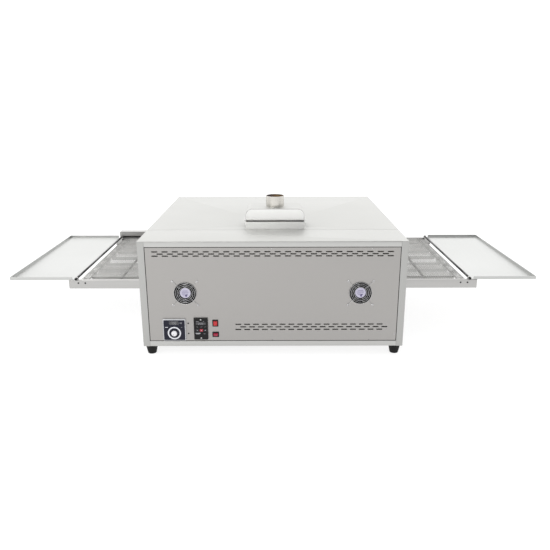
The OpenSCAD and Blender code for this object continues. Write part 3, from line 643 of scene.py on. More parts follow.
class OvenStep:
    """Shared set-up of the operators: each one builds and reports that it finished."""
    bl_options = {"REGISTER", "UNDO"}

    def execute(self, context):
        self.build()
        return {"FINISHED"}


# ---------------------------------------------------------------- shared places, in millimetres

HALF, FRONT, BACK = 560, -565, 565      # casing: half width, front and back
BASE, TOP = 41, 506                     # casing: underside and top
PANEL = -564                            # the panel's face
OPEN_X, OPEN_LOW, OPEN_TOP = 531, 65, 482
TUNNEL = (-400, 230, 456, 385)          # mouth in each side sheet: y, z, y, z
FOOT_X, FOOT_Y = 530, 535
NEAR, FAR = -385, 446                   # outer faces of the two rails
RAIL_LOW, RAIL_TOP, RAIL_END = 245, 285, 920
RAIL_SCREWS, RAIL_SCREW_Z = (-877, -846, 846, 877), 271
TIE_PITCH = 354                         # between the black cross rods
SHAFT_X, SHAFT_Z, BELT_R = 861.5, 262, 20
MOTOR_X, CHAIN_Y = 498, 474             # motor's shaft, left of the middle, and the chain's plane
HINGE_X, HINGE_Z = 885, 291             # rods that the trays hang on
KNUCKLE_PITCH = 340                     # between the knuckles of a tray
BELT_MIDDLE, BELT_WIDTH = 30.5, 798
FLUE_X, FLUE_Y, BRIM, HOOD_TOP = 10, -245, 546, 596
FAN_X, FAN_Z, FAN_PITCH = 369.3, 282.3, 105
THERMO = (-421.5, 119.2)
DIAL = (-422, 105.8)
SPEED = (-308.3, 122.6)
POWER_SWITCH, DRIVE_SWITCH = (-246.5, 147.3), (-246.3, 95.7)
GAS_INLET, CABLE_GLAND = (420, 120), (-380, 90)
FORWARD = (0, -1, 0)


def mirrored(shape):
    """The same shape on the other side of the casing's middle."""
    bmesh.ops.scale(shape, vec=(-1, 1, 1), verts=shape.verts)
    return shape


def sided(shape, side):
    return shape if side > 0 else mirrored(shape)


def turned(shape, centre, angle):
    """Turns a shape about the line through a centre that points at the control panel."""
    bmesh.ops.rotate(shape, cent=centre, matrix=Matrix.Rotation(angle, 3, "Y"), verts=shape.verts)
    return shape


def ring(centre, axis, radius, wire_radius, sides=64):
    profile = ring_points(radius, 0, wire_radius, 8)
    return lathe(profile, centre, axis, sides, closed=True)


def hexagon(x, z, radius):
    turns = [math.pi * i / 3 for i in range(6)]
    return [(x + radius * math.cos(turn), z + radius * math.sin(turn)) for turn in turns]


def fan_corners(x):
    """Places of the four screws that hold the fan whose shaft is at x."""
    half = FAN_PITCH / 2
    return [(x + sx * half, FAN_Z + sz * half) for sx in (-1, 1) for sz in (-1, 1)]


def stamp(piece, centre, y0, y1, mark, look):
    """Adds a flat printed mark: its offset from a centre, its width and its height."""
    dx, dz, w, h = mark
    x, z = centre[0] + dx, centre[1] + dz
    piece.add(box((x - w / 2, y0, z - h / 2), (x + w / 2, y1, z + h / 2), 0), look)


def bent_sheet(outlines, thickness, cuts, place):
    """Flat sheet, cut across at some distances and bent: place(distance) gives a point and its normal."""
    shape = plate(outlines, "z", -thickness, 0, 0)
    for cut in cuts:
        bmesh.ops.bisect_plane(
            shape, geom=shape.verts[:] + shape.edges[:] + shape.faces[:], dist=1e-4,
            plane_co=(cut, 0, 0), plane_no=(1, 0, 0), clear_inner=False, clear_outer=False)
    for vert in shape.verts:
        (x, z), (nx, nz) = place(vert.co.x)
        vert.co = Vector((x + nx * vert.co.z, vert.co.y, z + nz * vert.co.z))
    return shape


# ---------------------------------------------------------------- casing

class OVEN_OT_frame(OvenStep, bpy.types.Operator):
    """Front frame: two folded posts between which the top and bottom bands are welded"""
    bl_idname = "oven.frame"
    bl_label = "Front frame"

    AIR_SLOTS = (       # first slot, pitch, shift of the middle row, heights and counts of the three rows
        (-488.5, 42.44, 21.8, (462, 452.7, 443.9), (24, 23, 24)),
        (-148.3, 37.8, 21, (141.5, 129.5, 117.8), (17, 17, 17)))

    def build(self):
        sheet, bend = sizes().sheet, sizes().bend
        piece = Piece("front_frame_folded", "frame_steel", ["front_frame"])
        post = [(-HALF, FRONT + 26), (-HALF, FRONT), (-OPEN_X, FRONT), (-OPEN_X, FRONT + 3),
                (14 - OPEN_X, FRONT + 3)]
        # The posts take the darker copy of the casing steel: painted shade.
        for side in (1, -1):
            piece.add(sided(folded(post, sheet, "z", BASE, TOP - 1.7, bend), side), "frame_z_painted_shade")
        top = [(FRONT + 26, TOP - 1.7), (FRONT, TOP - 1.7), (FRONT, OPEN_TOP), (FRONT + 3, OPEN_TOP),
               (FRONT + 3, OPEN_TOP - 14)]
        foot = [(FRONT + 3, OPEN_LOW + 14), (FRONT + 3, OPEN_LOW), (FRONT, OPEN_LOW), (FRONT, BASE),
                (FRONT + 26, BASE)]
        for path in (top, foot):
            piece.add(folded(path, sheet, "x", 0.25 - OPEN_X, OPEN_X - 0.25, bend), "frame_x")
        # Thin dark strips in the seams between the posts and the bands: painted shade.
        for side in (-1, 1):
            for low, high in ((BASE, OPEN_LOW), (OPEN_TOP, TOP - 1.7)):
                piece.add(box((side * OPEN_X - 0.3, FRONT + 0.6, low + 1),
                              (side * OPEN_X + 0.3, FRONT + 2, high - 1), 0), "dark_screw_and_painted_shade")
        piece.finish()
        self.panel()

    def panel(self):
        """Brushed panel, pierced for the air slots, fans, controllers and switches."""
        low, high = span("front_panel")
        holes = []
        for start, pitch, shift, levels, counts in self.AIR_SLOTS:
            for row, (level, count) in enumerate(zip(levels, counts)):
                for i in range(count):
                    x = start + pitch * i + (shift if row == 1 else 0)
                    holes.append(rounded(x - 13, level - 2.5, x + 13, level + 2.5, 2.4, 3))
        for x in (-FAN_X, FAN_X):
            holes.append(ring_points(x, FAN_Z, 48, 72))
            holes += [ring_points(cx, cz, 2.3, 12) for cx, cz in fan_corners(x)]
        for (x, z), w, h in ((THERMO, 45, 45), (SPEED, 25, 36), (POWER_SWITCH, 10, 12.5),
                             (DRIVE_SWITCH, 12, 9.5)):
            holes.append(rounded(x - w, z - h, x + w, z + h, 1, 2))
        piece = Piece("pierced_front_panel", "panel_steel", ["front_panel"])
        piece.add(plate([rounded(low.x, low.z, high.x, high.z, 1.2)] + holes, "y", low.y, high.y, 0.25),
                  "panel_steel")
        piece.finish()
        # Black sheet filling the thin gap between the frame's opening and the panel: painted shade of the
        # gap.
        gap_shade = Piece("panel_seal", "foot_rubber", ["front_frame"])
        edges = [rounded(-530.9, 65.1, 530.9, 481.9, 0.5),
                 rounded(low.x - 0.1, low.z - 0.1, high.x + 0.1, high.z + 0.1, 1.2)]
        gap_shade.add(plate(edges, "y", low.y + 0.3, high.y, 0.1), "foot_rubber")
        gap_shade.finish()


class OVEN_OT_casing(OvenStep, bpy.types.Operator):
    """Top covers, side sheets with their tunnel mouths and louvres, rear sheet and base pan"""
    bl_idname = "oven.casing"
    bl_label = "Casing sheets"

    def build(self):
        for name, node, hole in (("main_cover_sheet", "main_top_cover", True),
                                 ("front_cover_sheet", "front_top_cover", False)):
            low, high = span(node)
            outlines = [rounded(low.x, low.y, high.x, high.y, 2)]
            if hole:
                outlines.append(ring_points(FLUE_X, FLUE_Y, 44))
            piece = Piece(name, "cover_steel", [node])
            piece.add(plate(outlines, "z", low.z, high.z, 0.6, 2), "cover_steel")
            piece.finish()
        for side, name in ((-1, "left_side_panel"), (1, "right_side_panel")):
            self.side_sheet(side, name)
        self.rear_sheet()
        dress("base_pan", "rear_steel")

    def side_sheet(self, side, node):
        low, high = span(node)
        inner, outer = HALF - sizes().sheet, HALF
        piece = Piece(node + "_sheet", "casing_steel", [node])
        holes = [rounded(*TUNNEL, 4)]
        if side < 0:
            holes.append(rounded(462, 229, 486, 289, 3))
        louvres = range(10)
        for i in louvres:
            holes.append(rounded(-540 + 12 * i, 440, -534 + 12 * i, 470, 2.5, 3))
        sheet = plate([rounded(low.y, low.z, high.y, high.z, 1.5)] + holes, "x", inner, outer, 0.3)
        piece.add(sided(sheet, side), "casing_steel")
        y0, z0, y1, z1 = TUNNEL
        rim = plate([rounded(*TUNNEL, 4), rounded(y0 + 2, z0 + 2, y1 - 2, z1 - 2, 3)], "x", inner - 12,
                    inner + 0.2, 0.2)
        piece.add(sided(rim, side), "casing_steel")
        for i in louvres:
            hood = lathe([(0, 1.9), (1.6, 1.7), (2.9, 1.0), (3.4, 0), (0, 0)], (0, 0, 0), (1, 0, 0), 12)
            bmesh.ops.scale(hood, vec=(1, 1, 4.4), verts=hood.verts)
            bmesh.ops.translate(hood, vec=(outer - 0.1, -538.5 + 12 * i, 455), verts=hood.verts)
            bmesh.ops.recalc_face_normals(hood, faces=hood.faces)
            piece.add(sided(hood, side), "casing_steel")
        for y in (-528, -200, 200, 555):
            for z in (52, 495):
                pan_screw(piece, (side * outer, y, z), (side, 0, 0), 3.4, 1.6)
        for y in (-390, 30, 446):
            for z in (222, 393):
                pan_screw(piece, (side * outer, y, z), (side, 0, 0), 3.0, 1.4)
        piece.finish()

    def rear_sheet(self):
        low, high = span("rear_panel")
        piece = Piece("rear_sheet", "casing_steel", ["rear_panel"])
        slots = [rounded(-300 + 52 * i, 440 + 10 * row, -268 + 52 * i, 444 + 10 * row, 1.9, 3)
                 for row in range(3) for i in range(12)]
        holes = slots + [ring_points(*GAS_INLET, 11, 32), ring_points(*CABLE_GLAND, 8.2, 32)]
        piece.add(plate([rounded(low.x, low.z, high.x, high.z, 1.5)] + holes, "y", low.y, high.y, 0.3),
                  "rear_steel")
        for x in (-548, -275, 0, 275, 548):
            for z in (52, 495):
                pan_screw(piece, (x, BACK, z), (0, 1, 0), 3.4, 1.6)
        piece.finish()


class OVEN_OT_flue(OvenStep, bpy.types.Operator):
    """Flue: base box, bent hood with its brim, and the short round pipe"""
    bl_idname = "oven.flue"
    bl_label = "Flue"

    def build(self):
        self.base()
        self.hood()
        self.pipe()
        dress("flue_duct", "galvanised")

    def base(self):
        low, high = span("flue_base")
        piece = Piece("flue_base_box", "cover_steel", ["flue_base"])
        outer = rounded(low.x, low.y, high.x, high.y, 3)
        inner = rounded(low.x + 1.5, low.y + 1.5, high.x - 1.5, high.y - 1.5, 1.5)
        # The base box's walls, flange and tabs take the lighter hood steel: painted light.
        piece.add(plate([outer, inner], "z", TOP + 0.8, TOP + 32, 0.4), "hood_steel_painted_light")
        piece.add(plate([outer, ring_points(FLUE_X, FLUE_Y, 39)], "z", TOP, TOP + 1.5, 0.4), "hood_steel_painted_light")
        for sx in (-1, 1):
            for sy in (-1, 1):
                x = FLUE_X + sx * 131.75
                y = FLUE_Y + sy * 45
                piece.add(box((x - 0.75, y - 8, TOP + 30), (x + 0.75, y + 8, BRIM), 0.3), "hood_steel_painted_light")
                piece.add(lathe([(0, 1.2), (1.8, 0.9), (2.4, 0)], (x + sx * 0.7, y, TOP + 34), (sx, 0, 0),
                                12), "screw_steel")
        piece.finish()

    def hood(self):
        half, deep, shoulder, sheet = 131, 80, 30, 1.5
        rise = HOOD_TOP - shoulder - BRIM - sheet
        arc = shoulder * math.pi / 2
        flat = 2 * (half - shoulder)
        whole = 2 * (rise + arc) + flat

        def place(u):
            side = -1
            if u > whole / 2:
                side, u = 1, whole - u
            if u <= rise:
                return (FLUE_X + side * half, BRIM + sheet + u), (side, 0)
            if u <= rise + arc:
                a = (u - rise) / shoulder
                x = half - shoulder + shoulder * math.cos(a)
                spot = (FLUE_X + side * x, HOOD_TOP - shoulder + shoulder * math.sin(a))
                return spot, (side * math.cos(a), math.sin(a))
            return (FLUE_X + side * (half - shoulder - (u - rise - arc)), HOOD_TOP), (0, 1)

        piece = Piece("flue_hood_bent", "cover_steel", ["flue_hood"])
        y0, y1 = FLUE_Y - deep, FLUE_Y + deep
        cuts = [rise + arc * i / 10 for i in range(11)]
        cuts += [whole - cut for cut in cuts]
        skin = bent_sheet([rounded(0, y0, whole, y1, 0.6, 2), ring_points(whole / 2, FLUE_Y, 40.2)], sheet,
                          cuts, place)
        piece.add(skin, "cover_steel")
        face = []
        for i in range(21):
            (x, z), (nx, nz) = place(rise + arc * i / 10 if i <= 10 else whole - rise - arc * (20 - i) / 10)
            face.append((x - nx * sheet, z - nz * sheet))
        ends = [(FLUE_X - half + sheet, BRIM + 0.5)] + face + [(FLUE_X + half - sheet, BRIM + 0.5)]
        # The front and back plates take the lighter hood steel, painted light, while the bent skin keeps the
        # cover steel.
        for y in (y0 + 0.1, y1 - sheet - 0.1):
            piece.add(plate([ends], "y", y, y + sheet, 0.3), "hood_steel_painted_light")
        low, high = span("flue_hood")
        rim_low = (FLUE_X - half + sheet, y0 + sheet)
        rim_high = (FLUE_X + half - sheet, y1 - sheet)
        brim = [rounded(low.x, low.y, high.x, high.y, 3), rounded(*rim_low, *rim_high, 2)]
        # The brim takes the darker rail steel: painted shade of the gap beneath it.
        piece.add(plate(brim, "z", BRIM, BRIM + sheet, 0.4), "rail_steel")
        piece.add(ring((FLUE_X, FLUE_Y, HOOD_TOP + 0.1), (0, 0, 1), 41.0, 0.8, 72), "rail_steel")
        piece.finish()

    def pipe(self):
        piece = Piece("flue_pipe_rolled", "flue_steel", ["flue_pipe"])
        top = TOP + 138
        profile = [(38.5, HOOD_TOP - 8), (40, HOOD_TOP - 8), (40, HOOD_TOP), (41, HOOD_TOP + 1.2),
                   (41, top - 0.5), (40.6, top), (39.9, top), (39.5, top - 0.5),
                   (39.5, HOOD_TOP + 1.4), (38.5, HOOD_TOP + 0.4)]
        piece.add(lathe(profile, (FLUE_X, FLUE_Y, 0), (0, 0, 1), 96, closed=True), "flue_steel")
        # Thin near-black lining inside the pipe: painted shade of its throat.
        lining = [(39.45, top - 3), (39.3, top - 3), (38.4, HOOD_TOP), (38.4, HOOD_TOP - 7),
                  (38.45, HOOD_TOP - 7), (39.45, HOOD_TOP + 2)]
        piece.add(lathe(lining, (FLUE_X, FLUE_Y, 0), (0, 0, 1), 64, closed=True), "throat_painted_shade")
        piece.add(box((FLUE_X - 0.5, FLUE_Y + 40.9, HOOD_TOP + 2), (FLUE_X + 0.5, FLUE_Y + 41.25, top - 1),
                      0.1), "flue_steel")
        piece.finish()


class OVEN_OT_feet(OvenStep, bpy.types.Operator):
    """Four moulded rubber feet"""
    bl_idname = "oven.feet"
    bl_label = "Feet"

    def build(self):
        piece = Piece("moulded_feet", "foot_rubber", ["feet"])
        profile = [(0, 12), (5, 12), (5, 1.2), (6, 0), (15.5, 0), (17.3, 0.5), (18.3, 1.6), (18.9, 3.2),
                   (25.9, 37.6), (26.5, 38.6), (26.5, 40.4), (25.9, 41), (0, 41)]
        for x in (-FOOT_X, FOOT_X):
            for y in (-FOOT_Y, FOOT_Y):
                piece.add(lathe(profile, (x, y, 0), (0, 0, 1), 56), "foot_rubber")
                piece.add(ring((x, y, 36.9), (0, 0, 1), 26.0, 0.5, 48), "foot_rubber")
        piece.finish()


# ---------------------------------------------------------------- conveyor

class OVEN_OT_rails(OvenStep, bpy.types.Operator):
    """Two folded channel rails, their cross rods and the bars under the belt"""
    bl_idname = "oven.rails"
    bl_label = "Rails"

    def build(self):
        near = [(NEAR + 12, RAIL_TOP), (NEAR, RAIL_TOP), (NEAR, RAIL_LOW), (NEAR + 12, RAIL_LOW)]
        far = [(FAR - 12, RAIL_LOW), (FAR, RAIL_LOW), (FAR, RAIL_TOP), (FAR - 12, RAIL_TOP)]
        for name, path, node in (("near_channel_rail", near, "near_rail"),
                                 ("far_channel_rail", far, "far_rail")):
            piece = Piece(name, "rail_steel", [node])
            piece.add(folded(path, 2, "x", -RAIL_END, RAIL_END, 2.4, 0.4), "rail_steel")
            piece.finish()
        piece = Piece("rail_ties", "black_steel", ["cross_rods"])
        low, high = span("cross_rods")
        for i in range(-2, 3):
            start, end = (i * TIE_PITCH, low.y, SHAFT_Z), (i * TIE_PITCH, high.y, SHAFT_Z)
            piece.add(rod(start, end, 5, 0.6, 24), "black_steel")
        piece.finish()
        dress("belt_support_bars", "bright_steel")
        dress("rail_supports", "galvanised")
        brackets = Piece("hinge_brackets", "rail_steel", ["tray_hinge_brackets"])
        for x in (-HINGE_X, HINGE_X):
            turns = [math.pi * i / 12 for i in range(1, 12)]
            crown = [(x + 7 * math.cos(turn), HINGE_Z + 6.5 * math.sin(turn)) for turn in turns]
            arch = [(x + 7, RAIL_TOP), (x + 7, HINGE_Z)] + crown + [(x - 7, HINGE_Z), (x - 7, RAIL_TOP)]
            pierced = [arch, ring_points(x, HINGE_Z, 3.65, 24)]
            for y in (NEAR + 1, FAR - 11):
                brackets.add(plate(pierced, "y", y, y + 10, 0.5), "rail_steel")
        brackets.finish()


class OVEN_OT_belt(OvenStep, bpy.types.Operator):
    """Woven wire belt: hooked strands in a closed loop round both end shafts"""
    bl_idname = "oven.belt"
    bl_label = "Wire belt"

    RUN_ROWS = 164      # strands along each straight run
    WRAP_ROWS = 6       # strands round half of an end shaft, in step with its twelve-toothed wheels
    SECTIONS = 4        # pieces that the loop is split into

    def strand(self):
        """One strand in the flat: x along the travel, z through the belt."""
        pitch = 2 * SHAFT_X / self.RUN_ROWS
        half, count = BELT_WIDTH / 2 - 1, sizes().belt_hooks
        columns = [BELT_MIDDLE - half + 3 + (2 * half - 6) * i / (count - 1) for i in range(count)]
        points = []
        for y in columns:
            points += [(0, y - 4, 0.4), (pitch + 1.4, y - 2.6, -0.5), (pitch + 1.4, y + 2.6, -0.5),
                       (0, y + 4, 0.4)]
        return wire(points, sizes().wire / 2, 4)

    def spot(self, x, row):
        """Centreline point and outward normal of the loop at a strand's row, counted from the top right."""
        step = 2 * SHAFT_X / self.RUN_ROWS
        rows = row + x / step
        loop = 2 * (self.RUN_ROWS + self.WRAP_ROWS)
        rows %= loop
        lower = rows >= self.RUN_ROWS + self.WRAP_ROWS
        if lower:
            rows -= self.RUN_ROWS + self.WRAP_ROWS
        side = -1 if lower else 1
        if rows <= self.RUN_ROWS:
            return Vector((side * (SHAFT_X - rows * step), 0, side * BELT_R)), Vector((0, 0, side))
        angle = math.pi * (rows - self.RUN_ROWS) / self.WRAP_ROWS
        out = Vector((-side * math.sin(angle), 0, side * math.cos(angle)))
        return Vector((-side * SHAFT_X, 0, 0)) + out * BELT_R, out

    def build(self):
        scratch = bpy.data.meshes.new("strand")
        first = self.strand()
        bmesh.ops.recalc_face_normals(first, faces=first.faces)
        first.to_mesh(scratch)
        first.free()
        rows = 2 * (self.RUN_ROWS + self.WRAP_ROWS)
        for section in range(self.SECTIONS):
            belt = Piece("woven_wire_belt_%d" % (section + 1), "belt_wire", ["wire_belt"])
            belt.looks.append("belt_wire")
            for row in range(rows * section // self.SECTIONS, rows * (section + 1) // self.SECTIONS):
                self.lay(belt, scratch, row)
            belt.finish(60)
        bpy.data.meshes.remove(scratch)

    def lay(self, belt, scratch, row):
        """Lays one more strand on the loop."""
        link = bmesh.new()
        link.from_mesh(scratch)
        for vert in link.verts:
            centre, out = self.spot(vert.co.x, row)
            vert.co = Vector((0, vert.co.y, SHAFT_Z)) + centre + out * vert.co.z
        placed = bpy.data.meshes.new("placed")
        link.to_mesh(placed)
        link.free()
        belt.mesh.from_mesh(placed)
        bpy.data.meshes.remove(placed)


class OVEN_OT_shafts(OvenStep, bpy.types.Operator):
    """End shafts of the conveyor, their bearing blocks and toothed wheels"""
    bl_idname = "oven.shafts"
    bl_label = "Shafts"

    def build(self):
        for node in ("drive_belt_sprockets", "idler_belt_sprockets"):
            dress(node, "bright_steel")
        for node in ("driven_chain_sprocket", "motor_sprocket"):
            dress(node, "chain_steel")
        for node, body, name in (("drive_shaft", "drive_shaft_set", "drive_axle"),
                                 ("idler_shaft", "idler_shaft_set", "idler_axle")):
            low, high = span(node)
            x = (low.x + high.x) / 2
            piece = Piece(name, "bright_steel", [node], body)
            piece.add(rod((x, low.y, SHAFT_Z), (x, high.y, SHAFT_Z), 8, 0.9, 40), "bright_steel")
            # Dark disc on the shaft's near end: painted shade.
            piece.add(rod((x, low.y - 0.05, SHAFT_Z), (x, low.y + 0.3, SHAFT_Z), 2.2, 0.1, 16), "dark_screw_and_painted_shade")
            piece.finish()
        piece = Piece("bearing_blocks", "motor_casting", ["shaft_bearings"])
        for x in (-SHAFT_X, SHAFT_X):
            turns = [math.pi * (1 + i / 14) for i in range(15)]
            cup = [(x + 13 * math.cos(turn), SHAFT_Z + 13 * math.sin(turn)) for turn in turns]
            outline = [(x + 21, 280.5), (x - 21, 280.5), (x - 21, 263)] + cup + [(x + 21, 263)]
            for y in (NEAR + 2, FAR - 14):
                piece.add(plate([outline, ring_points(x, SHAFT_Z, 8.1, 32)], "y", y, y + 12, 0.8, 2),
                          "dark_casting")
        piece.finish()


class OVEN_OT_chain(OvenStep, bpy.types.Operator):
    """Roller chain with its links, the chain guard and the gear motor behind them"""
    bl_idname = "oven.chain"
    bl_label = "Chain drive"

    LINKS = 92

    def path(self, count):
        """Points of the chain's loop, equally spaced, round the driven and the motor wheel."""
        big, small, gap = 27.43, 18.40, SHAFT_X - MOTOR_X
        slope = math.asin((big - small) / gap)
        straight = gap * math.cos(slope)
        wrap_big, wrap_small = big * (math.pi + 2 * slope), small * (math.pi - 2 * slope)
        whole = 2 * straight + wrap_big + wrap_small
        left, right = Vector((-SHAFT_X, SHAFT_Z)), Vector((-SHAFT_X + gap, SHAFT_Z))
        up = Vector((math.sin(slope), math.cos(slope)))
        down = Vector((math.sin(slope), -math.cos(slope)))
        for i in range(count):
            s = whole * i / count
            if s < straight:
                yield (left + up * big).lerp(right + up * small, s / straight)
            elif s < straight + wrap_small:
                a = math.pi / 2 - slope - (s - straight) / small
                yield right + Vector((math.cos(a), math.sin(a))) * small
            elif s < 2 * straight + wrap_small:
                yield (right + down * small).lerp(left + down * big, (s - straight - wrap_small) / straight)
            else:
                a = -math.pi / 2 - slope - (s - 2 * straight - wrap_small) / big
                yield left + Vector((math.cos(a), math.sin(a))) * big

    def build(self):
        piece = Piece("linked_roller_chain", "chain_steel", ["roller_chain"])
        joints = list(self.path(self.LINKS))
        for i, (first, second) in enumerate(zip(joints, joints[1:] + joints[:1])):
            along = (second - first).normalized()
            across = Vector((-along.y, along.x))
            inset = 0 if i % 2 else 1.1
            outline = [tuple(first + across * 3), tuple(first - along * 2.6), tuple(first - across * 3),
                       tuple(second - across * 3), tuple(second + along * 2.6), tuple(second + across * 3)]
            for y in (CHAIN_Y - 4.2 + inset, CHAIN_Y + 3.2 - inset):
                piece.add(plate([outline], "y", y, y + 1, 0), "chain_steel")
            for reach, radius, sides, look in ((4.4, 1.6, 8, "chain_steel"),
                                               (2.2, 2.5, 10, "bright_steel")):
                low, high = (first.x, CHAIN_Y - reach, first.y), (first.x, CHAIN_Y + reach, first.y)
                piece.add(rod(low, high, radius, 0, sides), look)
        piece.finish()
        dress("gear_motor", "motor_casting")
        self.guard()

    def guard(self):
        low, high = span("chain_guard")
        piece = Piece("chain_guard_box", "rail_steel", ["chain_guard"])
        outer = rounded(low.x, low.z, high.x + 3, high.z, 5)
        face = [(min(x, high.x), z) for x, z in outer]
        hole = ring_points(-SHAFT_X, SHAFT_Z, 20, 40)
        slot = rounded(-884, RAIL_TOP + 1, high.x - 14, RAIL_TOP + 11, 1)
        piece.add(plate([face, hole, slot], "y", low.y, low.y + 1.5, 0.5), "rail_steel")
        piece.add(plate([face], "y", high.y - 1.5, high.y, 0.5), "rail_steel")
        path = [(high.x, low.z), (low.x, low.z), (low.x, high.z), (high.x, high.z)]
        piece.add(folded(path[::-1], 1.5, "y", low.y + 0.6, high.y - 0.6, 5), "rail_steel")
        for x in (-880, -700, -575):
            for z in (low.z + 8, high.z - 8):
                pan_screw(piece, (x, high.y, z), (0, 1, 0), 3, 1.4)
        piece.finish()


class OVEN_OT_trays(OvenStep, bpy.types.Operator):
    """Folded trays with their knuckles, and the black rods they hang on"""
    bl_idname = "oven.trays"
    bl_label = "Trays"

    def build(self):
        for side, name in ((-1, "left_tray"), (1, "right_tray")):
            self.tray(side, name)
            self.hinge_rod(side, name)

    def tray(self, side, name):
        floor, reach, inner, top, sheet = 285.3, 1184, 895, 299.3, 1.5
        piece = Piece(name + "_folded", "tray_steel", [name], name)
        lips = [(NEAR, top), (NEAR, floor), (FAR, floor), (FAR, top)]
        piece.add(sided(folded(lips, sheet, "x", inner + 8, reach - 0.8, 2.2, 0.4), side), "tray_steel")
        piece.add(sided(box((inner, NEAR + 1.5, floor), (inner + 8.1, FAR - 1.5, floor + sheet), 0.4),
                        side), "tray_steel")
        end_lip = rounded(NEAR + 0.2, floor + 0.2, FAR - 0.2, top, 2.4)
        piece.add(sided(plate([end_lip], "x", reach - sheet, reach, 0.5), side), "tray_steel")
        for i in (-1, 0, 1):
            y = BELT_MIDDLE + KNUCKLE_PITCH * i
            wall = [(3.6, -12), (5, -12), (5, 12), (3.6, 12)]
            curl = lathe(wall, (HINGE_X, y, HINGE_Z), (0, 1, 0), 28, closed=True)
            piece.add(sided(curl, side), "black_steel")
            tongue = box((884.6, y - 12, floor + 0.8), (896, y + 12, floor + 2.3), 0.3)
            piece.add(sided(tongue, side), "tray_steel")
            for dy in (-7, 7):
                rivet = lathe([(0, 0.9), (1.6, 0.6), (2.2, 0)], (899, y + dy, floor + sheet), (0, 0, 1), 14)
                piece.add(sided(rivet, side), "screw_steel")
        piece.finish()

    def hinge_rod(self, side, name):
        piece = Piece(name + "_hinge_rod", "black_steel", [name + "_rod"], name)
        x = side * HINGE_X
        piece.add(rod((x, NEAR - 6, HINGE_Z), (x, FAR + 2, HINGE_Z), 3.5, 0.4, 24), "black_steel")
        ends = [NEAR + 14]
        for i in (-1, 0, 1):
            ends += [BELT_MIDDLE + KNUCKLE_PITCH * i - 14, BELT_MIDDLE + KNUCKLE_PITCH * i + 14]
        ends.append(FAR - 14)
        for start, stop in zip(ends[::2], ends[1::2]):
            sleeve = [(3.6, start), (4.7, start), (4.9, start + 0.4), (4.9, stop - 0.4), (4.7, stop),
                      (3.6, stop)]
            piece.add(lathe(sleeve, (x, 0, HINGE_Z), (0, 1, 0), 24, closed=True), "black_steel")
        knob = [(0, 4), (4.2, 4), (5.6, 3.2), (6, 2), (5.6, 0.8), (4.2, 0), (0, 0)]
        piece.add(lathe(knob, (x, NEAR - 4, HINGE_Z), FORWARD, 28), "black_steel")
        cap = [(0, 2.5), (4.6, 2.5), (6, 1.6), (6, 0.4), (5.2, 0), (0, 0)]
        piece.add(lathe(cap, (x, FAR + 0.5, HINGE_Z), (0, 1, 0), 28), "black_steel")
        piece.finish()


# ---------------------------------------------------------------- fans

